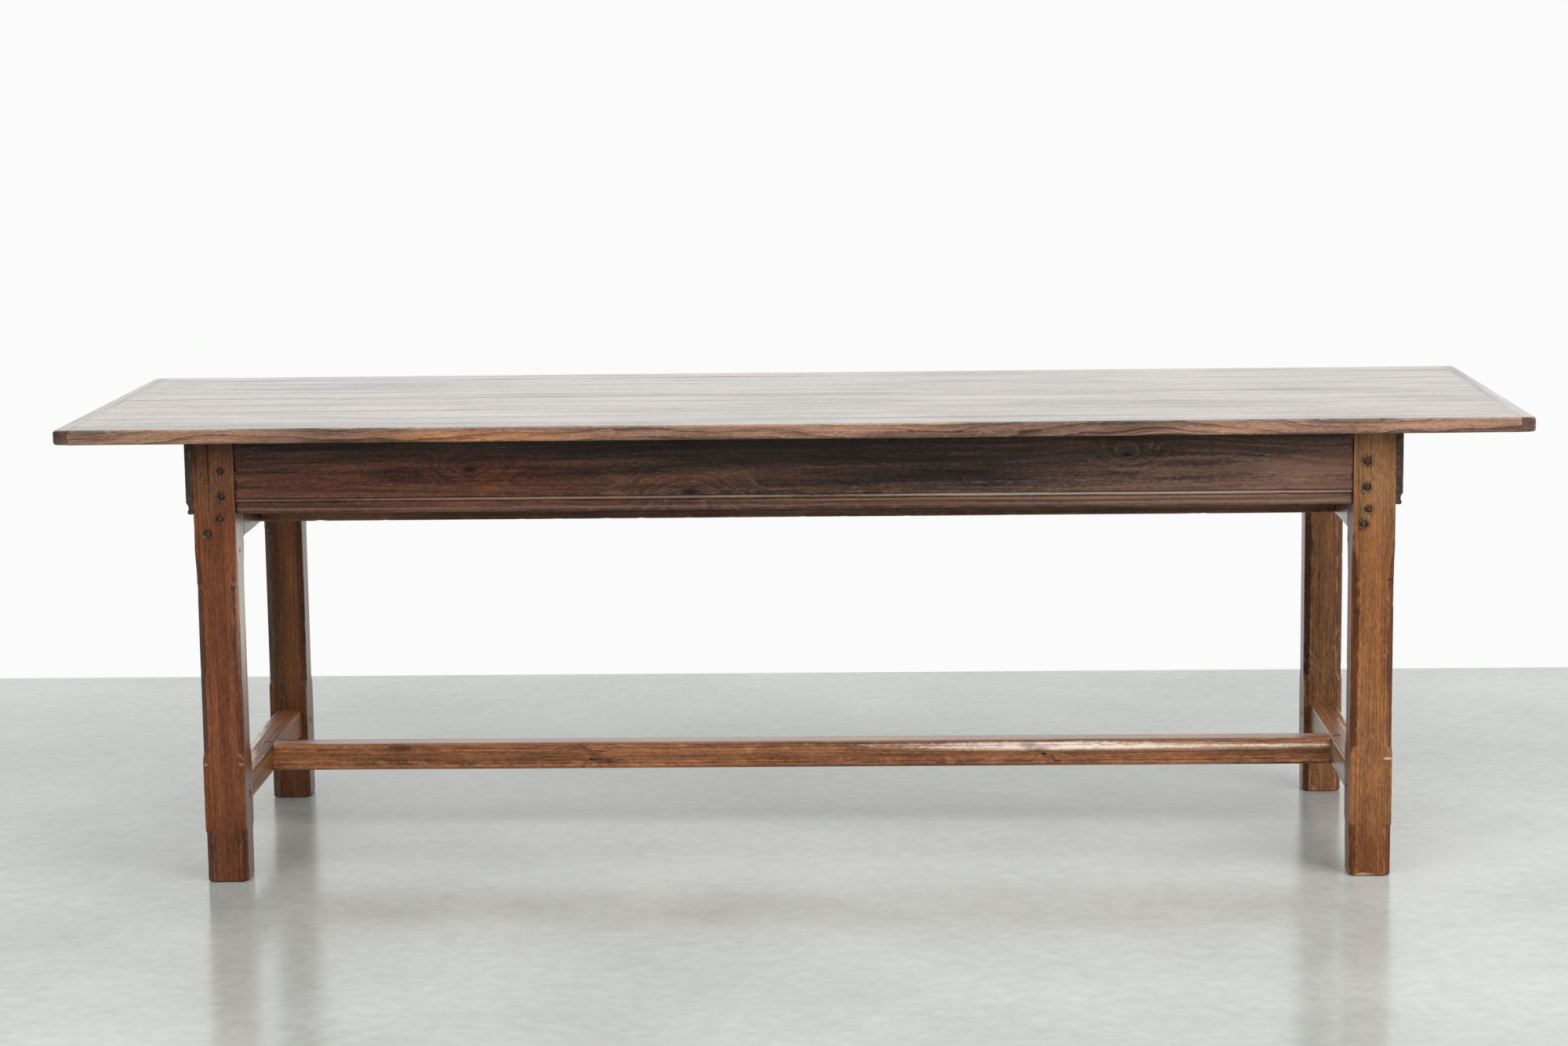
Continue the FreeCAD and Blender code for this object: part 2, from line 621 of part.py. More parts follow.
def drawer(name, side):
    turn = 0 if side < 0 else 180
    place = {"x": flipped("leg_x + leg / 2 + lip_gap + lip", side), "turn": turn}
    sides = ("front", "back") if side < 0 else ("back", "front")

    # front: a moulded lip that laps over the legs, and the thickness between them
    body = new_body(name + "_front", z="leg_height - apron_height", **place)
    sketch = new_sketch(body, "XZ_Plane")
    outline(sketch, moulding(lambda depth: depth) + [
        ("0", "apron_height - drawer_air"),
        ("lip", "apron_height - drawer_air"),
        ("lip", "0")])
    extrude(body, "Pad", sketch, "lip_length")
    slab(body, "Pad", "XZ_Plane", "0", "front_width",
         ("lip - over", "running_gap + bottom_thick",
          "front_thick", "apron_height - drawer_air * 2"))
    for end in (-1, 1):
        slab(body, "Pocket", "XZ_Plane", flipped("box_width / 2 - side_thick / 2", end),
             "side_thick",
             ("front_thick - front_groove", "running_gap + bottom_thick",
              "front_thick + over",
              "running_gap + bottom_thick + side_height"))

    # sides, housed in the front, with a groove for the back
    for end, which in zip((-1, 1), sides):
        body = new_body(name + "_side_" + which, z=drawer_low, **place)
        across = flipped("box_width / 2 - side_thick / 2", end)
        slab(body, "Pad", "XZ_Plane", across, "side_thick",
             ("front_thick - front_groove", "bottom_thick",
              "box_depth", "bottom_thick + side_height"))
        slab(body, "Pocket", "XZ_Plane", flipped("box_width / 2 - side_thick", end),
             "back_groove * 2",
             ("back_in", "bottom_thick - over",
              "back_in + back_thick", "bottom_thick + back_height"))
        dress(body, "Chamfer", "joint_chamfer", lambda edge: along_x(edge)
              and middle(edge).z > SIZES["bottom_thick"] + SIZES["side_height"] - NEAR
              and edge.Length > 100)

    body = new_body(name + "_back", z=drawer_low, **place)
    slab(body, "Pad", "XZ_Plane", "0", "box_width - side_thick * 2 + back_groove * 2",
         ("back_in", "bottom_thick", "back_in + back_thick", "bottom_thick + back_height"))

    body = new_body(name + "_bottom", z=drawer_low, **place)
    slab(body, "Pad", "XZ_Plane", "0", "box_width", ("lip", "0", "box_depth", "bottom_thick"))


drawer("drawer_left", -1)
drawer("drawer_right", 1)

doc.recompute()

# Every feature has to be sound, and every cut has to remove wood.
for item in doc.Objects:
    if "Invalid" in item.State or "Error" in item.State:
        raise RuntimeError("failed feature: %s %s" % (item.Name, item.State))
    if item.TypeId == "Sketcher::SketchObject" and item.solve() != 0:
        raise RuntimeError("sketch doesn't solve: " + item.Name)
    if item.TypeId == "PartDesign::Pocket":
        if item.Shape.Volume > item.BaseFeature.Shape.Volume - 0.01:
            raise RuntimeError("cut removes nothing: " + item.Name)
for part in sub_parts:
    if part.Shape.isNull() or not part.Shape.isValid():
        raise RuntimeError("bad shape: " + part.Label)

os.makedirs("parts", exist_ok=True)
for part in sub_parts:
    part.Shape.exportStep("parts/%s.step" % part.Label)
    box = part.Shape.BoundBox
    print("%-26s solids %d  volume %.0f cm3  x %.1f..%.1f  y %.1f..%.1f  z %.1f..%.1f" % (
        part.Label, len(part.Shape.Solids), part.Shape.Volume / 1000,
        box.XMin, box.XMax, box.YMin, box.YMax, box.ZMin, box.ZMax))
print(len(sub_parts), "sub-parts")
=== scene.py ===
# %% [markdown]
# An old dining table: four oak boards with a cleat across each end, on a pegged frame of square
# legs, with a drawer at each end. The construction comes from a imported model, the frame. This
# lesson gives every stick of it the waviness, rubbed arrises and waxed oak of the real table. It
# could be modelled afresh in Blender, but then no joint would fit as it does in the solids.

# %% Load the frame
import json
import math

import bmesh
import bpy
from mathutils import Euler, Matrix, Vector, kdtree, noise


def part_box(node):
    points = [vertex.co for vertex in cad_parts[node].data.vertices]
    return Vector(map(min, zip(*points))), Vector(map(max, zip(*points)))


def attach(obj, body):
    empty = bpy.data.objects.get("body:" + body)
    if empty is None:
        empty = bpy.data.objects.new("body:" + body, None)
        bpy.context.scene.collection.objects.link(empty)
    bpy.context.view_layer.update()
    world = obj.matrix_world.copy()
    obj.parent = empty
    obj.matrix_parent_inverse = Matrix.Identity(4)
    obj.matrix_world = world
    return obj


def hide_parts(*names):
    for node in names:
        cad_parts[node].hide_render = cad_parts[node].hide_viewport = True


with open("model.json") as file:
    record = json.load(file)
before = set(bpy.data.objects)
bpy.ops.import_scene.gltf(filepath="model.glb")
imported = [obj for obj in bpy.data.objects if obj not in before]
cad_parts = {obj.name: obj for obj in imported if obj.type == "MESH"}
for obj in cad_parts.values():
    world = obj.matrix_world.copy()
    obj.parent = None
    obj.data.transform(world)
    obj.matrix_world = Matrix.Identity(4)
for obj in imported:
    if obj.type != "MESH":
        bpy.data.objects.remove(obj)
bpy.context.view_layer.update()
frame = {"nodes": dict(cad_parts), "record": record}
MM = 0.001
body_of = {node: body for body, nodes in frame["record"]["behaviour"]["bodies"].items()
           for node in nodes}

# %% [markdown]
# A photograph is matched by the camera's place, its three turns and its focal length. A camera can
# be moved about by eye until the lines agree, but fitting all seven numbers at once to the corners
# of the table, whose sizes are known, is quicker and exact. Blender's camera looks down its own -Z
# axis, so a level camera is first turned up by a quarter turn about X.

# %% Camera
SENSOR_WIDTH = 36.0
FOCAL_LENGTH = 78.25
CAMERA_PLACE = Vector((0.1511, -5.7894, 1.4075))
TURN_LEFT, LOOK_DOWN, ROLL = 1.718, 8.506, -0.737
TABLE_MIDDLE = Vector((0, 0, 0.4))

camera = bpy.data.objects.new("camera", bpy.data.cameras.new("camera"))
camera.data.sensor_width = SENSOR_WIDTH
camera.data.lens = FOCAL_LENGTH
turn = Matrix.Rotation(math.radians(TURN_LEFT), 4, "Z")
tilt = Matrix.Rotation(math.radians(90 - LOOK_DOWN), 4, "X")
roll = Matrix.Rotation(math.radians(ROLL), 4, "Z")
camera.matrix_world = Matrix.Translation(CAMERA_PLACE) @ turn @ tilt @ roll
bpy.context.scene.collection.objects.link(camera)
bpy.context.scene.camera = camera
bpy.context.scene.view_settings.view_transform = "Standard"
print("camera", round((CAMERA_PLACE - TABLE_MIDDLE).length, 2), "m from the table")

# %% [markdown]
# Shader trees are easier to read when one helper adds every node. A socket that is given another
# node's socket is linked to it, and any other value is set on it. Sockets go by name or number: in
# a Map Range node 1 and 2 are the range that comes in, 3 and 4 the one that goes out, and a
# Multiply Add gives 0 times 1 plus 2. A colour ramp's stops are a setting too. Colours are written
# as on a screen (sRGB) and turned linear by one function.

# %% Node and colour helpers
def linear(code):
    """A hex colour as Blender's linear red, green, blue and alpha."""
    channels = [int(code[place:place + 2], 16) / 255 for place in (1, 3, 5)]
    return [value / 12.92 if value <= 0.04045 else ((value + 0.055) / 1.055) ** 2.4
            for value in channels] + [1.0]


def add(tree, kind, sockets=None, give=0, **settings):
    """Add one shader node, set it, link it, and return the output that is asked for."""
    made = tree.nodes.new("ShaderNode" + kind)
    for name, value in settings.items():
        if name == "stops":
            stops = made.color_ramp.elements
            while len(stops) < len(value):
                stops.new(1.0)
            for stop, (place, colour) in zip(stops, value):
                stop.position = place
                stop.color = colour if isinstance(colour, list) else [colour] * 3 + [1.0]
        else:
            setattr(made, name, value)
    for name, value in (sockets or {}).items():
        if isinstance(value, bpy.types.NodeSocket):
            tree.links.new(value, made.inputs[name])
        else:
            made.inputs[name].default_value = value
    return made.outputs[give] if made.outputs else made


def new_material(name):
    """A material with an empty node tree, and that tree."""
    material = bpy.data.materials.new(name)
    material.use_nodes = True
    material.node_tree.nodes.clear()
    return material, material.node_tree


print("brown in linear light", [round(value, 3) for value in linear("#6a3c26")])

# %% [markdown]
# The table stands on a smooth pale floor in front of a white wall, and waxed wood mirrors both:
# seen at a low angle the top goes almost white. So the room has to be there and not only a white
# world. Floor and wall are single sheets that only show their fronts, so they never hide the table
# from behind or below. Polished concrete has clouds of grey, about 0.8 m wide, and a fine speckle,
# and it is smooth enough to mirror the legs softly. The wall's own white is only seen, directly or
# mirrored, and lights nothing.

# %% Floor, wall and world
WALL_LINE = 1.433
FLOOR_REACH = 9.0
WALL_HEIGHT = 7.0
LOW_SKY, HIGH_SKY = 0.26, 0.5


def flat_sheet(name, corners, material):
    """One face through four corners, kept as a part of the stage."""
    sheet = bmesh.new()
    sheet.faces.new([sheet.verts.new(corner) for corner in corners])
    mesh = bpy.data.meshes.new(name)
    sheet.to_mesh(mesh)
    sheet.free()
    mesh.materials.append(material)
    made = bpy.data.objects.new(name, mesh)
    bpy.context.scene.collection.objects.link(made)


concrete, tree = new_material("polished concrete")
place = add(tree, "TexCoord", give="Object")
# a noise of scale 1 has blots about 1 m wide: clouds of 0.8 m, speckle of 30 mm
cloudy = add(tree, "TexNoise", {"Vector": place, "Scale": 1.3, "Detail": 5.0, "Roughness": 0.6})
speckle = add(tree, "TexNoise", {"Vector": place, "Scale": 35.0, "Detail": 4.0})
blotch = add(tree, "Math", {0: speckle, 1: 0.35, 2: cloudy}, operation="MULTIPLY_ADD")
tone = add(tree, "ValToRGB", {0: blotch}, stops=[(0.45, linear("#9b9d99")),
                                                 (0.85, linear("#b9bbb7"))])
gloss = add(tree, "MapRange", {0: cloudy, 1: 0.3, 2: 0.7, 3: 0.12, 4: 0.24})
shader = add(tree, "BsdfPrincipled", {"Base Color": tone, "Roughness": gloss})
from_below = add(tree, "NewGeometry", give="Backfacing")
clear = add(tree, "BsdfTransparent")
add(tree, "OutputMaterial", {0: add(tree, "MixShader", {0: from_below, 1: shader, 2: clear})})

white, tree = new_material("white wall")
rays = add(tree, "LightPath", give="Is Camera Ray")
mirrored = add(tree, "LightPath", give="Is Glossy Ray")
seen = add(tree, "Math", {0: rays, 1: mirrored}, operation="MAXIMUM")
front = add(tree, "Math", {0: 1.0, 1: add(tree, "NewGeometry", give="Backfacing")},
            operation="SUBTRACT")
shown = add(tree, "Math", {0: seen, 1: front}, operation="MULTIPLY")
glow = add(tree, "Emission", {"Color": linear("#fafbfa"), "Strength": 1.0})
clear = add(tree, "BsdfTransparent")
add(tree, "OutputMaterial", {0: add(tree, "MixShader", {0: shown, 1: clear, 2: glow})})

flat_sheet("floor", ((-FLOOR_REACH, -FLOOR_REACH, 0), (FLOOR_REACH, -FLOOR_REACH, 0),
                     (FLOOR_REACH, FLOOR_REACH, 0), (-FLOOR_REACH, FLOOR_REACH, 0)), concrete)
flat_sheet("wall", ((-FLOOR_REACH, WALL_LINE, 0), (FLOOR_REACH, WALL_LINE, 0),
                    (FLOOR_REACH, WALL_LINE, WALL_HEIGHT),
                    (-FLOOR_REACH, WALL_LINE, WALL_HEIGHT)), white)

world = bpy.data.worlds.new("white studio")
world.use_nodes = True
tree = world.node_tree
tree.nodes.clear()
upward = add(tree, "SeparateXYZ", {0: add(tree, "TexCoord", give="Generated")}, give="Z")
sky = add(tree, "MapRange", {0: upward, 1: 0.0, 2: 1.0, 3: LOW_SKY, 4: HIGH_SKY})
rays = add(tree, "LightPath", give="Is Camera Ray")
strength = add(tree, "Mix", {0: rays, 2: sky, 3: 1.0})
add(tree, "OutputWorld", {0: add(tree, "Background", {"Color": linear("#fbfcfb"),
                                                      "Strength": strength})})
bpy.context.scene.world = world
print("wall", WALL_LINE, "m behind the middle of the table")

# %% [markdown]
# The light is that of a studio with big windows: one broad soft lamp high in front, a nearer one on
# the right, a weaker one on the left and one behind. A picture of a real room round the scene would
# do the same, but four square lamps can be read and changed one by one. They are wide, so that
# their image in the waxed top stays dim. Together with the world they light a surface to about the
# level at which its colour is written.

# %% Lamps
# each lamp's place in m, its side in m and its power in W
LAMPS = {
    "window_front": ((0.4, -3.9, 4.9), 6.5, 256.0),
    "window_right": ((3.4, -2.6, 2.5), 3.2, 145.0),
    "window_left": ((-3.2, -3.4, 3.6), 3.5, 60.0),
    "window_behind": ((-0.8, 4.2, 4.4), 5.0, 130.0),
}
AIMED_AT = Vector((0, 0, 0.5))
for name, (lamp_place, side, power) in LAMPS.items():
    lamp = bpy.data.lights.new(name, "AREA")
    lamp.shape = "SQUARE"
    lamp.size = side
    lamp.energy = power
    hung = bpy.data.objects.new(name, lamp)
    hung.location = lamp_place
    aim = AIMED_AT - Vector(lamp_place)
    hung.rotation_euler = aim.to_track_quat("-Z", "Y").to_euler()
    bpy.context.scene.collection.objects.link(hung)
print(len(LAMPS), "lamps")

# %% [markdown]
# Oak is a solid pattern, not a skin: growth rings are cylinders about the heart of the tree, and a
# board shows where its faces cut them. A flat picture of wood wrapped round the piece would break
# at every arris, so the pattern is worked out in the space of the piece, with its grain along one
# axis. The rings are swayed along the piece and bent round the knots. Each ring starts with a band
# of big open pores and ends in dense dark late wood.

# %% The figure of oak
QUARTER = math.pi / 2
ALONG = {"x": (0.0, 0.0, 0.0), "y": (0.0, 0.0, -QUARTER), "z": (0.0, QUARTER, 0.0)}
AXIS = {"x": Vector((1, 0, 0)), "y": Vector((0, 1, 0)), "z": Vector((0, 0, 1))}


def piece_space(tree, node, grain, seed):
    """The piece's own space, grain along its first axis, and the same space moved by its seed."""
    low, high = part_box(node)
    turned = Euler(ALONG[grain]).to_matrix() @ ((low + high) / 2)
    place = add(tree, "Mapping", {"Vector": add(tree, "TexCoord", give="Object"),
                                  "Location": -turned, "Rotation": ALONG[grain]})
    own = add(tree, "VectorMath", {0: place, 1: (seed * 3.7, seed * 1.9, seed * 2.3)},
              operation="ADD")
    return place, own


def growth_rings(tree, place, own, pith, ring, sway, knots):
    """Late wood and the band of pores, both 0 to 1, and the cores of knots; lengths in mm."""
    rate, reach = sway
    # the heart wanders by up to half the reach, slowly along the tree and quicker across it
    slow = add(tree, "VectorMath", {0: own, 1: (rate, 9.0, 9.0)}, operation="MULTIPLY")
    slow = add(tree, "TexNoise", {"Vector": slow, "Scale": 1.0, "Detail": 3.0}, give="Color")
    slow = add(tree, "VectorMath", {0: slow, 1: (0.5, 0.5, 0.5)}, operation="SUBTRACT")
    slow = add(tree, "VectorMath", {0: slow, 1: (0.0, reach * MM, reach * MM)},
               operation="MULTIPLY")
    swayed = add(tree, "VectorMath", {0: place, 1: slow}, operation="ADD")
    heart = add(tree, "VectorMath", {0: swayed, 1: (0.0, pith[0] * MM, pith[1] * MM)},
                operation="SUBTRACT")
    # a trunk tapers a little: 0.03 of the length counts as distance from the heart
    heart = add(tree, "VectorMath", {0: heart, 1: (0.03, 1.0, 1.0)}, operation="MULTIPLY")
    radius = add(tree, "VectorMath", {0: heart}, give="Value", operation="LENGTH")
    cores = None
    for along, across, size in knots:
        offset = add(tree, "VectorMath", {0: swayed, 1: (along * MM, 0.0, across * MM)},
                     operation="SUBTRACT")
        # a sawn knot is about twice as long along the grain as across it
        offset = add(tree, "VectorMath", {0: offset, 1: (0.45, 0.0, 1.0)}, operation="MULTIPLY")
        gap = add(tree, "VectorMath", {0: offset}, give="Value", operation="LENGTH")
        bend = add(tree, "MapRange", {0: gap, 1: 0.0, 2: size * MM * 4, 3: size * MM * 2.5,
                                      4: 0.0}, interpolation_type="SMOOTHSTEP")
        radius = add(tree, "Math", {0: radius, 1: bend}, operation="ADD")
        core = add(tree, "MapRange", {0: gap, 1: size * MM * 0.6, 2: size * MM * 0.2})
        cores = core if cores is None else add(tree, "Math", {0: cores, 1: core},
                                               operation="MAXIMUM")
    # good and bad years come in groups about 17 mm thick
    uneven = add(tree, "TexNoise", {"W": radius, "Scale": 60.0, "Detail": 2.0},
                 noise_dimensions="1D")
    count = add(tree, "Math", {0: radius, 1: 1 / (ring * MM)}, operation="MULTIPLY")
    count = add(tree, "Math", {0: uneven, 1: 3.5, 2: count}, operation="MULTIPLY_ADD")
    turn = add(tree, "Math", {0: count}, operation="FRACT")
    # late wood darkens slowly and ends sharply, and the pores are in the first third of a ring
    late = add(tree, "ValToRGB", {0: turn},
               stops=[(0.0, 0.0), (0.4, 0.15), (0.85, 1.0), (0.94, 0.9), (1.0, 0.0)])
    early = add(tree, "ValToRGB", {0: turn}, stops=[(0.0, 0.5), (0.06, 1.0), (0.2, 0.7),
                                                    (0.34, 0.1), (1.0, 0.1)])
    return late, early, cores


def long_noise(tree, own, width, length, detail, rough=0.6):
    """Noise stretched along the grain; width and length are those of its largest streaks, mm."""
    spread = (1000 / length, 1000 / width, 1000 / width)
    stretched = add(tree, "VectorMath", {0: own, 1: spread}, operation="MULTIPLY")
    return add(tree, "TexNoise", {"Vector": stretched, "Scale": 1.0, "Detail": detail,
                                  "Roughness": rough})


def piled(tree, start, layers):
    """A start value plus each layer's distance from one half, times the layer's share."""
    for layer, share in layers:
        start = add(tree, "Math", {0: layer, 1: share, 2: add(
            tree, "Math", {0: start, 1: 0.5 * share}, operation="SUBTRACT")},
            operation="MULTIPLY_ADD")
    return start


def blend(tree, share, ground, over, kind="MIX"):
    """Lay a colour over the ground, or multiply it in, by a share from 0 to 1."""
    return add(tree, "Mix", {0: share, 6: ground, 7: over}, give=2, data_type="RGBA",
               blend_type=kind)


def shades(code, depths=(0.25, 0.72, 1.2, 2.1)):
    """A stain's deep, dark, light and pale tones, as multiples of its middle tone."""
    return [[min(1.0, channel * depth) for channel in linear(code)[:3]] + [1.0]
            for depth in depths]


print("the figure runs along", sorted(ALONG))

# %% [markdown]
# Age leaves single features on the wood. Drying checks are hairlines along the grain. Marks are
# spots, placed in mm as on the real table: one with a colour covers the wood, such as a dent, and
# one with three factors only tints it, such as fading. Some marks are painted light and shade:
# shade under the overhang, and highlights and reflections on arrises, beads and inner faces. They
# could be painted, but a painted picture has one size, while a spot that is worked out from a
# distance stays clear from near and is moved by its numbers. A tint darkens the chamfers.

# %% Checks, marks and darker chamfers
CHAMFER_TINT = [0.55, 0.4, 0.36, 1.0]


def drying_checks(tree, own):
    """Hairlines where a long noise crosses one half, in some places only."""
    ridge = add(tree, "Math", {0: long_noise(tree, own, 38, 900, 3.0), 1: 0.5},
                operation="SUBTRACT")
    ridge = add(tree, "Math", {0: ridge}, operation="ABSOLUTE")
    ridge = add(tree, "MapRange", {0: ridge, 1: 0.0, 2: 0.003, 3: 1.0, 4: 0.0})
    split = add(tree, "MapRange", {0: long_noise(tree, own, 60, 260, 1.0), 1: 0.56, 2: 0.62})
    return add(tree, "Math", {0: ridge, 1: split}, operation="MULTIPLY")


def marked(tree, colour, marks, streaks, flecks):
    """Lay marks over a colour, each with its middle, reach, colour or factors, and strength."""
    spot = add(tree, "TexCoord", give="Object")
    for centre, reach, shade, strength in marks:
        gap = add(tree, "VectorMath", {0: spot, 1: Vector(centre) * MM}, operation="SUBTRACT")
        gap = add(tree, "VectorMath", {0: gap, 1: [1 / (side * MM) for side in reach]},
                  operation="MULTIPLY")
        gap = add(tree, "VectorMath", {0: gap}, give="Value", operation="LENGTH")
        # the grain makes a mark's rim ragged
        gap = piled(tree, gap, [(streaks, 2.5), (flecks, 1.0)])
        share = add(tree, "MapRange", {0: gap, 1: 1.0, 2: 0.45, 3: 0.0, 4: strength})
        if isinstance(shade, str):
            colour = blend(tree, share, colour, linear(shade))
        else:
            colour = blend(tree, share, colour, list(shade) + [1.0], "MULTIPLY")
    return colour


def darkened_chamfers(tree, colour, normal, chamfer_dark):
    """Darken faces that look along X and Y at once, so that both parts' product is large."""
    across = [add(tree, "SeparateXYZ", {0: normal}, give=side) for side in ("X", "Y")]
    across = add(tree, "Math", {0: across[0], 1: across[1]}, operation="MULTIPLY")
    across = add(tree, "Math", {0: across}, operation="ABSOLUTE")
    share = add(tree, "MapRange", {0: across, 1: 0.3, 2: 0.45, 3: 0.0, 4: chamfer_dark})
    return blend(tree, share, colour, CHAMFER_TINT, "MULTIPLY")


print("grime tints by", CHAMFER_TINT[:3])

# %% [markdown]
# The finish goes over the figure. Oak that was stained, oiled and waxed for many years is dark in
# the pores and satin on the faces, and mirrors a white room at a low angle. The stain lies in
# clouds, end grain has drunk more of it, and open pores hold dark wax, or pale old wax in places.
# Where hands and feet pass, the arrises are rubbed to bare wood: how near an arris is comes from a
# value kept on the mesh, and noise breaks it up. One plain brown with gloss would be quicker, but
# wood gets its depth from these layers. The shader is a base under a clear coat, because oil has
# soaked in and wax lies on top.

# %% Old oak
END_GRAIN = linear("#2f2a26")
DARK_WAX = linear("#170e09")
OLD_WAX = linear("#8a7f76")
OAK_IOR = 1.3
WAX_IOR = 1.42


def old_oak(name, node, grain, middle, seed, pith=(30, -90), ring=4.5, sway=(1.1, 30),
            knots=(), marks=(), worn=1.9, rough=(0.26, 0.44), coat=0.6, relief=0.12,
            figure=(0.9, 0.5, 0.35, 0.75), rings=0.14, wax=0.3, dull_end=0.6, polish=0.25,
            specks=0.5, chamfer_dark=0.0):
    """Oak about a middle tone; lengths in mm.

    The pith is the heart of the tree, across and up from the middle of the piece. Figure says how
    far streaks, fibres, flecks and clouds of stain move the tone, and rings how far late wood
    does. Wax is the share of old wax in the pores, worn the lightness of rubbed wood, specks how
    ragged its border is, and polish the coat's roughness. The last argument darkens the chamfers.
    """
    material, tree = new_material(name)
    place, own = piece_space(tree, node, grain, seed)
    late, early, cores = growth_rings(tree, place, own, pith, ring, sway, knots)
    streaks = long_noise(tree, own, width=18, length=500, detail=6.0)
    fibres = long_noise(tree, own, width=2.6, length=60, detail=4.0, rough=0.7)
    flecks = long_noise(tree, own, width=3.0, length=9, detail=3.0, rough=0.7)
    stain = long_noise(tree, own, width=90, length=300, detail=6.0)
    # real pores are 0.3 mm wide: they are drawn 1.1 mm wide so that they show at all
    pores = add(tree, "MapRange", {0: long_noise(tree, own, 1.1, 11, 2.0), 1: 0.53, 2: 0.63})
    pores = add(tree, "Math", {0: pores, 1: early}, operation="MULTIPLY")
    checks = drying_checks(tree, own)

    value = piled(tree, 0.55, list(zip((streaks, fibres, flecks, stain, late),
                                       (*figure, -rings))))
    tones = shades(middle)
    colour = add(tree, "ValToRGB", {0: value}, stops=list(zip((0.3, 0.48, 0.62, 0.82), tones)))
    held = add(tree, "MapRange", {0: stain, 1: 0.44, 2: 0.58, 3: wax, 4: 0.0})
    filled = blend(tree, held, DARK_WAX, OLD_WAX)
    share = add(tree, "Math", {0: pores, 1: 0.62}, operation="MULTIPLY")
    colour = blend(tree, share, colour, filled)
    if cores is not None:
        colour = blend(tree, cores, colour, DARK_WAX)
    colour = marked(tree, colour, marks, streaks, flecks)
    normal = add(tree, "NewGeometry", give="Normal")
    if chamfer_dark:
        colour = darkened_chamfers(tree, colour, normal, chamfer_dark)
    # end grain is where a face looks along the grain
    facing = add(tree, "VectorMath", {0: normal, 1: AXIS[grain]}, give="Value",
                 operation="DOT_PRODUCT")
    facing = add(tree, "Math", {0: facing}, operation="ABSOLUTE")
    end = add(tree, "MapRange", {0: facing, 1: 0.75, 2: 0.9, 3: 0.0, 4: dull_end})
    colour = blend(tree, end, colour, END_GRAIN)
    share = add(tree, "Math", {0: checks, 1: 0.8}, operation="MULTIPLY")
    colour = blend(tree, share, colour, DARK_WAX)

    rubbed = add(tree, "Attribute", give="Fac", attribute_name="rubbed")
    patchy = piled(tree, add(tree, "Math", {0: rubbed, 1: 0.3}, operation="MULTIPLY"),
                   [(long_noise(tree, own, 12, 34, 5.0), 1.0), (flecks, specks)])
    patchy = add(tree, "MapRange", {0: patchy, 1: 0.2, 2: 0.42, 3: 0.0, 4: 0.6})
    bare = [min(1.0, channel * worn + 0.02) for channel in linear(middle)[:3]] + [1.0]
    colour = blend(tree, patchy, colour, bare)

    gloss = piled(tree, (rough[0] + rough[1]) / 2, [
        (stain, rough[1] - rough[0]), (fibres, 0.3), (flecks, 0.2), (patchy, 0.2)])
    height = piled(tree, 0.0, [(fibres, 1.2), (streaks, 1.0), (flecks, 0.5), (pores, -0.5),
                               (checks, -3.0)])
    bump = add(tree, "Bump", {"Height": height, "Distance": relief * MM, "Strength": 1.0})
    cover = piled(tree, 0.86, [(stain, 1.2), (streaks, 1.6), (fibres, 0.9), (flecks, 0.6)])
    cover = add(tree, "Math", {0: cover, 1: coat}, operation="MULTIPLY", use_clamp=True)
    shader = add(tree, "BsdfPrincipled", {
        "Base Color": colour, "Roughness": gloss, "Normal": bump, "Coat Normal": bump,
        "IOR": OAK_IOR, "Coat Weight": cover, "Coat Roughness": polish, "Coat IOR": WAX_IOR})
    add(tree, "OutputMaterial", {0: shader})
    return material


print("oak of IOR", OAK_IOR, "under wax of IOR", WAX_IOR)

# %% [markdown]
# No edge of an old table is sharp, and no face is quite flat. Bump in a material could fake it, but
# the outline would stay straight, so the wear is in the mesh. Each piece is a copy of its CAD
# solid: the loose triangles are merged, the arrises bevelled, the faces cut into short strips, and
# then every point sinks a little, more at the arrises where knocks and rubbing take wood away.
# Wood only ever goes inward, so nothing grows into its neighbour.

# %% Carving helpers
SAME_POINT, SAME_PLANE = 0.01 * MM, math.radians(0.5)
POINT_GAP = 3
RUB, KNOCK_FROM, KNOCK_DEEP = 0.25, 0.4, 3.5


def merged_copy(node):
    """The CAD mesh of a node with its triangles merged into whole faces."""
    carved = bmesh.new()
    carved.from_mesh(frame["nodes"][node].data)
    bmesh.ops.remove_doubles(carved, verts=carved.verts, dist=SAME_POINT)
    bmesh.ops.dissolve_limit(carved, angle_limit=SAME_PLANE, verts=carved.verts,
                             edges=carved.edges)
    return carved


def slice_across(carved, axis, places):
    """Cut every face by planes square to an axis, from the lowest place to the highest."""
    ahead = set(carved.faces)
    normal = Vector([float(index == axis) for index in range(3)])
    for place in sorted(places):
        geometry = list(ahead)
        geometry += list({edge for face in ahead for edge in face.edges})
        geometry += list({vert for face in ahead for vert in face.verts})
        cut = bmesh.ops.bisect_plane(carved, geom=geometry, dist=0.02 * MM,
                                     plane_co=normal * place, plane_no=normal)
        ahead = {part for part in cut["geom"] if isinstance(part, bmesh.types.BMFace)
                 and max(vert.co[axis] for vert in part.verts) > place + 0.05 * MM}


def even_places(low, high, step):
    """Places for cuts between low and high, about a step apart."""
    count = max(2, round((high - low) / step))
    return [low + (high - low) * index / count for index in range(1, count)]


def outer_edges(carved, least, angle, chosen=None):
    """Long outer edges sharper than an angle in degrees, or those of them that are chosen."""
    return [edge for edge in carved.edges
            if edge.is_manifold and edge.is_convex and edge.calc_length() > least
            and edge.calc_face_angle() > math.radians(angle)
            and (not chosen or chosen((edge.verts[0].co + edge.verts[1].co) / 2 / MM))]


def soften(carved, edges, offset, parts):
    """Bevel edges by an offset in mm."""
    bmesh.ops.bevel(carved, geom=edges, offset=offset * MM, offset_type="OFFSET", segments=parts,
                    profile=0.5, affect="EDGES", material=-1, clamp_overlap=True)


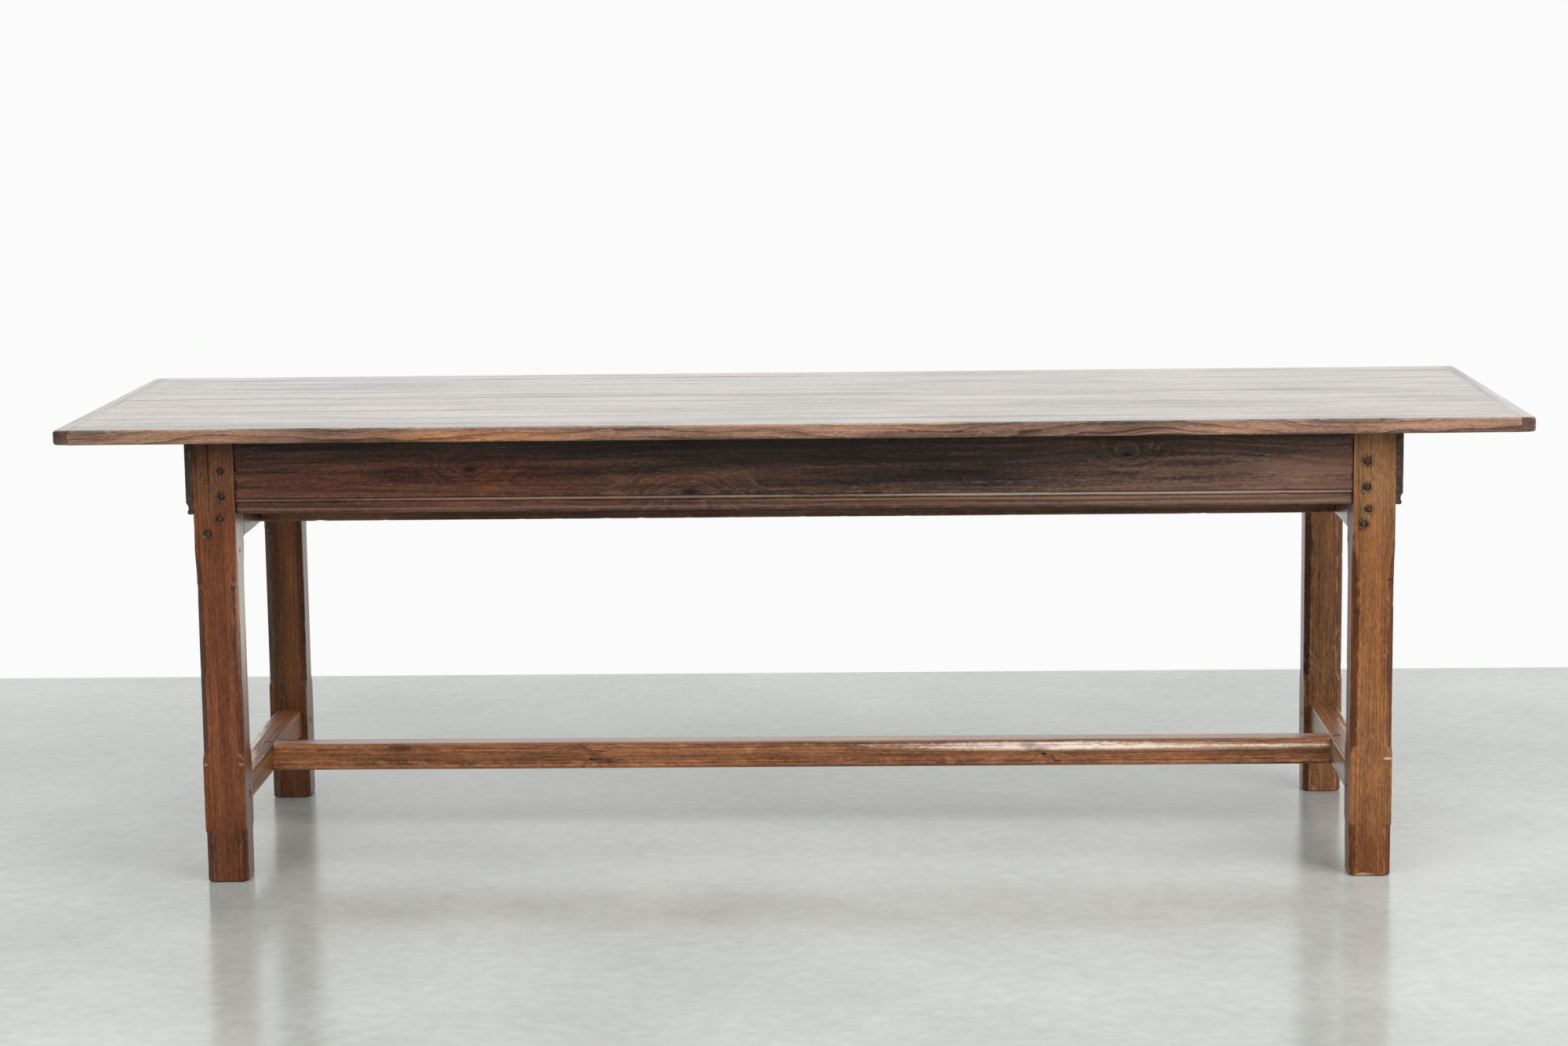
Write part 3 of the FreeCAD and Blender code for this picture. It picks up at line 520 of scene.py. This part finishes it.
def arris_tree(edges):
    """Points a small gap apart along the edges, to look up how near one is."""
    points = []
    for edge in edges:
        first, last = edge.verts[0].co, edge.verts[1].co
        steps = max(1, int(edge.calc_length() / (POINT_GAP * MM)))
        points += [first.lerp(last, index / steps) for index in range(steps + 1)]
    found = kdtree.KDTree(len(points))
    for index, point in enumerate(points):
        found.insert(point, index)
    found.balance()
    return found


def wear(carved, arris_line, seed, wave, chip, reach):
    """Sink the points: slow waves on the faces, and chips near the arrises."""
    rubbed = carved.verts.layers.float.new("rubbed")
    carved.normal_update()
    shift = Vector((seed * 1.3, seed * 0.7, seed * 2.1))
    sunk = []
    for vert in carved.verts:
        gap = arris_line.find(vert.co)[2]
        near = 0.0 if gap is None else max(0.0, 1.0 - gap / reach)
        spot = vert.co + shift
        # waves of 200, 60 and 110 mm along X, Y and Z, and knocks of 24 and 9 mm
        depth = wave * (0.5 + 0.5 * noise.noise(Vector((spot.x * 5, spot.y * 17, spot.z * 9))))
        if near > 0:
            knock = noise.noise(spot * 42) + 0.6 * noise.noise(spot * 110)
            depth += chip * near ** 2 * (RUB + max(0.0, knock - KNOCK_FROM) * KNOCK_DEEP)
        sunk.append(vert.normal * depth)
        vert[rubbed] = near
    for vert, move in zip(carved.verts, sunk):
        vert.co -= move


print("cuts across a 100 mm face 10 mm apart:", len(even_places(0, 100, 10)))

# %% [markdown]
# Two functions use these helpers on every piece: one carves the copy, and one gives it materials
# and hands it over. Sculpting each piece would be freer, but this way all wear alike, and a change
# of one number can be tried on the whole table. A piece rides with its body, so that it moves with
# a drawer, and stands for the CAD node whose name it has.

# %% Carve and finish one piece
WORN_ANGLE, BEVEL_ANGLE, SMOOTH_ANGLE = 12, 35, 38
TIGHT_ARRIS = 0.4
RIM_CUT = 3


def finish_piece(carved, node, material, bare=None, bare_side=None):
    """Turn the bmesh into a piece that rides with its body and stands for its CAD node."""
    bmesh.ops.triangulate(carved, faces=[face for face in carved.faces if len(face.verts) > 4])
    if bare:
        for face in carved.faces:
            face.material_index = int(face.normal.dot(Vector(bare_side)) > 0.7)
    mesh = bpy.data.meshes.new(node + "_worn")
    carved.to_mesh(mesh)
    carved.free()
    mesh.shade_smooth()
    mesh.set_sharp_from_angle(angle=math.radians(SMOOTH_ANGLE))
    for finish in filter(None, (material, bare)):
        mesh.materials.append(finish)
    piece = bpy.data.objects.new(node + "_worn", mesh)
    bpy.context.scene.collection.objects.link(piece)
    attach(piece, body_of[node])
    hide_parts(node)
    return piece


def worn_copy(node, grain, seed, step=8, across=10, arris=1.0, wave=0.35, chip=1.0, reach=8,
              least=25, handled=None, close=(), reshape=None):
    """A carved bmesh of one CAD node; lengths in mm. Only handled arrises are rubbed.

    Cuts are a step apart along the grain, wider across it, and also at the close distances from
    every side. Edges shorter than the least are left sharp. Reshape moves the points at the end.
    """
    carved = merged_copy(node)
    line = arris_tree(outer_edges(carved, least * MM, WORN_ANGLE, handled))
    if handled:
        inner = outer_edges(carved, least * MM, BEVEL_ANGLE, lambda spot: not handled(spot))
        soften(carved, inner, TIGHT_ARRIS, 1)
    soften(carved, outer_edges(carved, least * MM, BEVEL_ANGLE, handled), arris, 2)
    low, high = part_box(node)
    length = "xyz".index(grain)
    margin = (arris + RIM_CUT) * MM
    for axis in range(3):
        rims = [gap * MM for gap in close] + ([margin] if axis != length else [])
        width = step if axis == length else across
        places = even_places(low[axis] + max(rims, default=0), high[axis] - max(rims, default=0),
                             width * MM)
        places += [low[axis] + gap for gap in rims] + [high[axis] - gap for gap in rims]
        slice_across(carved, axis, places)
    wear(carved, line, seed, wave * MM, chip * MM, reach * MM)
    if reshape:
        for vert in carved.verts:
            vert.co += reshape(vert.co / MM) * MM
    return carved


print("arrises over", BEVEL_ANGLE, "degrees are bevelled, seams under", SMOOTH_ANGLE, "smooth")

# %% [markdown]
# Two edges of the top have shapes that wear gave them. The lower front arris of the boards is wavy
# and has a hollow, and the rims of the cleats are round, because sharp ones get knocked off. They
# could be sculpted, but points that are moved by a short formula in mm stay true to the real sizes,
# and can be read and changed.

# %% Shapes of the top's edges
BOARD_UNDER, WAVY_TO = 735, 750
WAVY_FROM, WAVY_RUN = -389, 4
HOLLOW_AT, HOLLOW_HALF, HOLLOW_DEEP = 600, 48, 3.5
WAVE_LONG, WAVE_DEEP = 130, 1.5


def front_edge_shape(spot):
    """Lift the lower front arris in slow waves, and more in the hollow at the right."""
    if spot.y > WAVY_FROM or spot.z > WAVY_TO:
        return Vector()
    share = (WAVY_TO - spot.z) / (WAVY_TO - BOARD_UNDER)
    share *= min(1.0, (WAVY_FROM - spot.y) / WAVY_RUN)
    hollow = max(0.0, 1 - ((spot.x - HOLLOW_AT) / HOLLOW_HALF) ** 2) * HOLLOW_DEEP
    swell = WAVE_DEEP * (0.5 + 0.5 * noise.noise(Vector((spot.x / WAVE_LONG, 4.0, 0.0))))
    return Vector((0, 0, share * (hollow + swell)))


CLEAT_END, CLEAT_FRONT, CLEAT_CORNER = 1185, 395, 8
CLEAT_UNDER, CLEAT_TOP = 736, 760
CLEAT_MIDDLE = (CLEAT_UNDER + CLEAT_TOP) / 2
END_ROUND, FRONT_ROUND = 6, 2.5


def round_rim(spot):
    """Move a point near a cleat's outer rim onto a quarter circle, larger at the table's end."""
    out = Vector((max(0.0, abs(spot.x) - (CLEAT_END - CLEAT_CORNER)),
                  max(0.0, abs(spot.y) - (CLEAT_FRONT - CLEAT_CORNER))))
    if out.length < 0.01:
        return Vector()
    radius = FRONT_ROUND + (END_ROUND - FRONT_ROUND) * out.x / out.length
    flat = radius - (CLEAT_CORNER - out.length)
    steep = radius - min(CLEAT_TOP - spot.z, spot.z - CLEAT_UNDER)
    far = math.hypot(flat, steep)
    if min(flat, steep) <= 0 or far <= radius:
        return Vector()
    pull = radius / far - 1
    inward = out.normalized() * flat * pull
    return Vector((math.copysign(1, spot.x) * inward.x, math.copysign(1, spot.y) * inward.y,
                   math.copysign(1, spot.z - CLEAT_MIDDLE) * steep * pull))


lift = front_edge_shape(Vector((HOLLOW_AT, -395, BOARD_UNDER)))
print("the front arris is lifted by", round(lift.z, 1), "mm in its hollow")

# %% [markdown]
# The top is the most handled part: flat-sawn boards, waxed above, never planed or waxed below, and
# worn pale along the front arris. One wide slab with joints drawn on it would be simpler, but then
# the figure would run on from board to board, and no joint would be open. Only the arrises that
# hands reach are rubbed, so the joints stay tight. To the eye waxed oak is deep brown with a sheen
# that grows towards the far edge, and sawn oak is pale, dull and rough.

# %% Top boards and cleats
TOP_TONE, CLEAT_TONE, SAWN_TONE = "#765848", "#60483b", "#7a6650"
SAWN = dict(coat=0.0, rough=(0.7, 0.85), relief=0.35, wax=0.0)
HANDLED_FRONT, HANDLED_END = 390, 1165

# marks have a middle and a reach in mm, a colour or three factors, and a strength
FADED = [((0, 0, 761), (4000, 4000, 6), (0.88, 1.1, 1.16), 0.9)]
# a dark dent, an open joint, and then the changing tones of the front edge
FRONT_MARKS = [
    ((-126.6, -149.5, 760), (20, 9, 5), "#2a1d16", 0.8),
    ((-1159, -345, 760), (4, 16, 5), "#1a120d", 0.8),
    ((-1000, -395, 748), (260, 12, 16), (1.3, 1.3, 1.15), 0.8),
    ((-520, -395, 743), (230, 12, 13), (1.5, 1.15, 0.65), 0.8),
    ((-450, -395, 757), (300, 12, 5), (0.6, 0.62, 0.66), 0.7),
    ((0, -395, 735), (1400, 14, 5), (0.7, 0.65, 0.62), 0.8),
    ((600, -395, 739), (55, 14, 6), (1.6, 1.75, 1.9), 0.5),
    ((200, -395, 741), (130, 12, 8), (0.5, 0.45, 0.45), 0.8),
]
TOP_BOARDS = {
    "top_board_front": dict(pith=(40, -130), sway=(2.6, 70), rings=0.24, specks=1.3, wax=0.5,
                            marks=FRONT_MARKS),
    "top_board_middle": dict(pith=(-20, -160), marks=[
        ((-183, -4.5, 760), (16, 8, 5), "#2a1d16", 0.85),
        ((-1159, -135, 760), (5, 24, 5), "#1a120d", 0.8)]),
    "top_board_rear": dict(pith=(30, 140), marks=[
        ((-51.7, 285.7, 760), (22, 12, 5), "#2a1d16", 0.85),
        ((-900, 150, 760), (160, 60, 5), (0.6, 0.58, 0.58), 0.7),
        ((830, 180, 760), (150, 80, 5), (0.6, 0.55, 0.55), 0.7)]),
    "top_board_back_strip": dict(pith=(0, -120)),
}
TOP_CUTS = {
    "top_board_front": dict(chip=1.3, arris=1.4, reshape=front_edge_shape,
                            handled=lambda spot: spot.y < -HANDLED_FRONT),
    "top_board_back_strip": dict(handled=lambda spot: spot.y > HANDLED_FRONT),
}
for seed, (node, figure) in enumerate(TOP_BOARDS.items(), 1):
    figure = dict(figure, marks=figure.get("marks", []) + FADED)
    waxed = old_oak("waxed oak " + node, node, "x", TOP_TONE, seed, ring=6.5, coat=1.0,
                    polish=0.14, rough=(0.22, 0.42), relief=0.2, worn=2.6, **figure)
    bare = old_oak("sawn oak " + node, node, "x", SAWN_TONE, seed, ring=6.5, **SAWN)
    cut = TOP_CUTS.get(node, dict(handled=lambda spot: False))
    piece = finish_piece(worn_copy(node, "x", seed, across=14, **cut), node, waxed,
                         bare, (0, 0, -1))
    print(piece.name, len(piece.data.polygons), "faces")
for seed, (node, shine) in enumerate((("cleat_left", 0.75), ("cleat_right", 1.0)), 5):
    waxed = old_oak("waxed oak " + node, node, "y", CLEAT_TONE, seed, pith=(10, -60),
                    dull_end=0.5, coat=shine, polish=0.16, rough=(0.24, 0.42), worn=2.2)
    carved = worn_copy(node, "y", seed, across=8, close=(0.7, 1.6, 2.6, 4), reshape=round_rim,
                       handled=lambda spot: abs(spot.x) > HANDLED_END)
    piece = finish_piece(carved, node, waxed)
    print(piece.name, len(piece.data.polygons), "faces")

# %% [markdown]
# The frame is darker than the top. The legs are split close to the grain, so their lines run
# straight up them. The aprons are wide flat-sawn boards with a bold figure and knots, with shade
# painted under the overhang. The stretchers are rubbed by a lifetime of feet, and highlights are
# painted on their upper arrises. Shaders of their own could be designed for them, but it is one
# oak from one workshop, so the same function makes every material with other tones, hearts and
# marks, and tables hold these to be compared with the real table.

# %% Tones, figures and marks of the frame
LEG_TONES = {"leg_front_left": "#5f351e", "leg_front_right": "#744928",
             "leg_back_left": "#603c23", "leg_back_right": "#7e5636"}
# open joints, dents and splits of the legs, where their colour is faded or dark, and a painted
# reflection on the inner face of the front left leg
LEG_MARKS = {
    "leg_front_left": [
        ((-945.7, -341, 700), (1.3, 8, 70), "#0d0805", 0.85),
        ((-955, -341, 566), (1.2, 8, 30), "#0d0805", 0.6),
        ((-968, -341, 706), (7, 10, 34), "#20150f", 0.7),
        ((-938, -341, 700), (60, 12, 120), (1.8, 2.4, 2.7), 0.6),
        ((-910, -341, 491), (9, 9, 1.8), "#1d110b", 0.8),
        ((-966, -341, 494), (4, 8, 4), "#b29a80", 0.5),
        ((-968, -341, 199), (6, 8, 2), "#a08268", 0.6),
        ((-909, -341, 199), (6, 8, 2), "#a08268", 0.6),
        ((-912, -341, 50), (9, 9, 50), (0.6, 0.5, 0.5), 0.7),
        # a painted reflection of the bright room on the inner face
        ((-904, -307, 500), (9, 45, 190), "#c4b29e", 0.7)],
    "leg_back_left": [
        ((-958, 273, 380), (17, 12, 420), (0.55, 0.55, 0.6), 0.8),
        ((-924, 273, 430), (15, 12, 260), (1.9, 1.6, 1.2), 0.6)],
    "leg_front_right": [
        ((964, -341, 197), (9, 8, 2.5), "#c0a98e", 0.6),
        ((925, -341, 1), (36, 10, 5), "#c9b79d", 0.7),
        ((938, -341, 20), (60, 12, 80), (0.8, 0.65, 0.62), 0.8),
        ((938, -341, 690), (60, 12, 130), (1.15, 1.6, 2.15), 0.6),
        ((938, -341, 190), (60, 12, 150), (1.25, 1.4, 1.75), 0.6),
        ((910, -341, 491), (9, 9, 1.8), "#1d110b", 0.8),
        ((966, -341, 491), (9, 9, 1.6), "#1d110b", 0.7)],
    "leg_back_right": [
        ((950, 273, 470), (20, 12, 200), (1.3, 1.2, 1.1), 0.6)],
}
TONES = {"apron_wood": "#503326", "rail_wood": "#63402a", "stretcher_wood": "#835436"}
FIGURES = {
    "leg_wood": dict(pith=(60, 120), ring=3.4, sway=(0.9, 24), wax=0.1, coat=0.25,
                     rough=(0.36, 0.52), figure=(0.45, 0.4, 0.5, 0.75), chamfer_dark=0.85),
    # the aprons' rubbed arrises are paler than elsewhere, so that the moulding's beads carry a
    # painted highlight as well as wear
    "apron_wood": dict(pith=(45, 8), ring=6, sway=(1.3, 45), wax=0.7, coat=0.45, rings=0.13,
                       relief=0.07, figure=(0.25, 0.25, 0.3, 0.5), worn=2.6),
    "rail_wood": dict(pith=(20, 60), ring=5, coat=0.3),
    "stretcher_wood": dict(pith=(15, 40), ring=4, worn=2.4, coat=0.5, rough=(0.34, 0.5),
                           figure=(0.7, 0.5, 0.5, 0.75)),
}
OWN_FIGURES = {"side_stretcher_left": dict(coat=0.1, rough=(0.5, 0.68)),
               "leg_front_right": dict(coat=0.1, rough=(0.48, 0.66))}
CUTS = {
    "leg_wood": dict(step=6, across=9, arris=1.2, chip=0.7),
    "apron_wood": dict(across=10, arris=0.8),
    "rail_wood": dict(across=10, arris=1.0),
    "stretcher_wood": dict(step=6, across=8, arris=1.2, chip=1.2),
}
KNOTS = {"apron_front": ((-164, -24, 15), (-520, 14, 11), (540, 20, 9)),
         "apron_back": ((310, 5, 13),),
         "centre_stretcher": ((-360, -9, 5), (422, -4, 5))}
# both aprons have the same marks, so places are given along the apron and up, without its face
APRON_MARKS = [
    # painted shade under the overhang, darkest at the top, a warm left part, a cool middle,
    # and a right end painted lighter and greyer as light and sheen from the right
    (0, 756, (1500, 16, 124), (0.3, 0.3, 0.32), 0.95),
    (-600, 655, (420, 14, 80), (1.25, 0.95, 0.8), 0.8),
    (60, 690, (400, 14, 70), (0.75, 0.9, 1.0), 0.7),
    (720, 655, (520, 14, 110), (1.65, 2.15, 2.5), 0.8),
    # painted highlights on the beads of the moulding
    (500, 636, (520, 9, 3.4), "#9d9089", 0.65),
    (-400, 636, (520, 9, 3), "#8f7b6b", 0.45),
    (400, 629, (660, 9, 3), "#a87c64", 0.5),
    # warm patches about the left knot
    (-460, 682, (120, 12, 26), (1.25, 1.0, 0.85), 0.6),
    (-495, 652, (34, 10, 8), "#7d4326", 0.45),
    (-540, 628, (45, 10, 6), "#84492a", 0.45),
    # dark joints beside the legs
    (-905, 680, (8, 10, 90), "#120b07", 0.9),
    (905, 680, (6, 10, 90), "#120b07", 0.9),
]
# painted highlights, sheen and reflections on the stretchers' upper arrises, tops and inner
# faces, partly over rubbed pale wood, and a dark dent
STRETCHER_MARKS = {
    "side_stretcher_left": [
        # a near-white painted sheen on the rubbed top of the left stretcher, along its outer strip
        # and over the front
        ((-954, -60, 163), (10, 260, 9), "#f0e8de", 1.0),
        ((-945, -190, 163), (26, 130, 8), "#ded5ca", 0.9)],
    "side_stretcher_right": [
        # a painted reflection of the bright room on the inner face of the right stretcher
        ((915, -60, 142), (8, 260, 24), "#b3a79b", 0.7)],
    "centre_stretcher": [
        # painted sheen on the upper front face, and a painted highlight along the upper front arris
        ((560, -22, 151), (420, 9, 9), "#c99f82", 0.6),
        ((550, -22, 153), (400, 9, 6.5), "#f6e8dc", 1.0),
        ((0, 0, 166), (1200, 26, 6), "#c8b8a6", 0.6),
        ((-690, -22, 156), (30, 9, 7), (0.35, 0.35, 0.35), 0.7)],
}
# two dark veins run down across the front of the centre stretcher, drawn as rows of spots
STRETCHER_MARKS["centre_stretcher"] += [
    ((middle + 26 * step, -22, 141 - 15 * step), (13, 10, 8), (0.42, 0.4, 0.42), 0.6)
    for middle in (-352, 418) for step in (-1, -0.5, 0, 0.5, 1)]
print(sum(map(len, LEG_MARKS.values())), "marks on the legs,", len(APRON_MARKS), "on each apron")

# %% [markdown]
# Now the thirteen pieces of the frame are made. Wax gathers in the rim of each peg hole. Its places
# could be typed in, but they are measured on the pegs themselves, so that they can't be wrong. The
# aprons are waxed outside and left raw inside, so they have two materials.

# %% Frame pieces
FRAME_PIECES = (
    ("leg_wood", "z", ("leg_front_left", "leg_front_right", "leg_back_left", "leg_back_right")),
    ("apron_wood", "x", ("apron_front", "apron_back")),
    ("rail_wood", "y", ("end_rail_left", "end_rail_right")),
    ("stretcher_wood", "y", ("side_stretcher_left", "side_stretcher_right")),
    ("stretcher_wood", "x", ("centre_stretcher",)),
    ("rail_wood", "x", ("runner_front", "runner_back")),
)
APRON_FACE = 338
PEG_RIM, PEG_RIM_TONE = (12, 12, 12), "#1c120c"


def peg_ends(node):
    """The middles of the eight-sided end faces of a node's pegs, in mm."""
    carved = merged_copy(node)
    ends = [face.calc_center_median() / MM for face in carved.faces if len(face.verts) == 8]
    carved.free()
    return ends


def leg_marks(node):
    """Dark rims round the pegs that end in a leg's faces, and the leg's own marks."""
    low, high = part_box(node)
    marks = list(LEG_MARKS.get(node, []))
    for pegs in ("apron_pegs", "rail_pegs", "stretcher_pegs"):
        for end in peg_ends(pegs):
            if all(low[axis] / MM - 1 < end[axis] < high[axis] / MM + 1 for axis in range(3)):
                marks.append((tuple(end), PEG_RIM, PEG_RIM_TONE, 0.65))
    return marks


seed = 8.0
for slot, grain, nodes in FRAME_PIECES:
    for node in nodes:
        marks = STRETCHER_MARKS.get(node, [])
        bare, raw_side = None, None
        if slot == "leg_wood":
            marks = leg_marks(node)
        if slot == "apron_wood":
            outward = -1 if node == "apron_front" else 1
            marks = [((along, outward * APRON_FACE, up), reach, shade, strength)
                     for along, up, reach, shade, strength in APRON_MARKS]
            raw_side = (0, -outward, 0)
            bare = old_oak("sawn oak " + node, node, grain, SAWN_TONE, seed, **SAWN)
        figure = dict(FIGURES[slot], **OWN_FIGURES.get(node, {}))
        finish = old_oak("waxed oak " + node, node, grain, LEG_TONES.get(node) or TONES[slot],
                         seed, marks=marks, knots=KNOTS.get(node, ()), **figure)
        carved = worn_copy(node, grain, seed, **CUTS[slot])
        piece = finish_piece(carved, node, finish, bare, raw_side)
        print(piece.name, len(piece.data.polygons), "faces")
        seed += 1.0

# %% [markdown]
# The pegs were whittled with a knife and driven in, so their ends are a little domed, chipped at
# the rim and black with wax, which makes them read as dark dots. They are so small that insetting
# the end faces and shaking the points by noise is enough: cutting them into strips as well would
# only add faces.

# %% Pegs
PEG_GRAIN = {"apron_pegs": "y", "rail_pegs": "y", "stretcher_pegs": "x", "cross_pegs": "z"}
PEG_ARRIS, PEG_INSET, PEG_DOME = 1.0, 2.2, 0.4
WHITTLED, WHITTLED_SCALE = 0.5, 190

for node, grain in PEG_GRAIN.items():
    carved = merged_copy(node)
    rims = {edge for face in carved.faces if len(face.verts) == 8 for edge in face.edges}
    soften(carved, list(rims), PEG_ARRIS, 2)
    ends = [face for face in carved.faces if len(face.verts) == 8]
    bmesh.ops.inset_individual(carved, faces=ends, thickness=PEG_INSET * MM,
                               depth=PEG_DOME * MM, use_even_offset=True)
    for vert in carved.verts:
        vert.co += Vector([WHITTLED * MM * noise.noise(vert.co * WHITTLED_SCALE
                                                       + Vector((shift, 0, 0)))
                           for shift in (3, 17, 29)])
    finish = old_oak("black oak " + node, node, grain, "#3a2c24", seed, coat=0.3, dull_end=0.2,
                     worn=3.0)
    carved.verts.layers.float.new("rubbed")
    piece = finish_piece(carved, node, finish)
    print(piece.name, len(piece.data.polygons), "faces")
    seed += 1.0

# %% [markdown]
# A drawer front is waxed outside and raw inside, like the rest of its box. Its moulding is that of
# the aprons, but at both ends the groove above the top bead is full of wax and worn flush: its
# points are pulled forward, which is simpler than filling the groove with new faces. The box is
# thin sawn oak that no one ever polished. Every part rides with its own drawer, so nothing stays
# behind when it opens.

# %% Drawers
# in mm: the front's face, the groove's height and depth, and how near the ends it is filled
DRAWER_FACE = 983.8
GROOVE_AT, GROOVE_HALF, GROOVE_DEEP = 635.7, 4.1, 4
WORN_SKIN = 0.6
FILL_FROM, FILL_RUN = 305, 25


def worn_ends(spot):
    """Fill the moulding's upper groove near both ends of a drawer front."""
    depth = DRAWER_FACE - abs(spot.x)
    if abs(spot.z - GROOVE_AT) > GROOVE_HALF or not WORN_SKIN < depth < GROOVE_DEEP:
        return Vector()
    share = min(1.0, max(0.0, (abs(spot.y) - FILL_FROM) / FILL_RUN))
    return Vector((math.copysign(share * (depth - WORN_SKIN), spot.x), 0, 0))


for body, outward in (("drawer_left", -1), ("drawer_right", 1)):
    node = body + "_front"
    finish = old_oak("waxed oak " + node, node, "y", TONES["apron_wood"], seed, pith=(-30, 50),
                     ring=7, rings=0.3, dull_end=0.85, coat=0.4, worn=2.2)
    bare = old_oak("sawn oak " + node, node, "y", SAWN_TONE, seed, **SAWN)
    carved = worn_copy(node, "y", seed, across=9, arris=0.6, chip=0.2, wave=0.2,
                       reshape=worn_ends)
    piece = finish_piece(carved, node, finish, bare,
                         (-outward, 0, 0))
    print(piece.name, len(piece.data.polygons), "faces")
    seed += 1.0
    for part, grain in (("_side_front", "x"), ("_side_back", "x"), ("_back", "y"),
                        ("_bottom", "y")):
        node = body + part
        finish = old_oak("sawn oak " + node, node, grain, SAWN_TONE, seed, coat=0.0,
                         rough=(0.6, 0.8), relief=0.3, wax=0.0, dull_end=0.3)
        carved = worn_copy(node, grain, seed, step=12, across=14, arris=0.5, wave=0.2, chip=0.4)
        piece = finish_piece(carved, node, finish)
        print(piece.name, len(piece.data.polygons), "faces")
        seed += 1.0
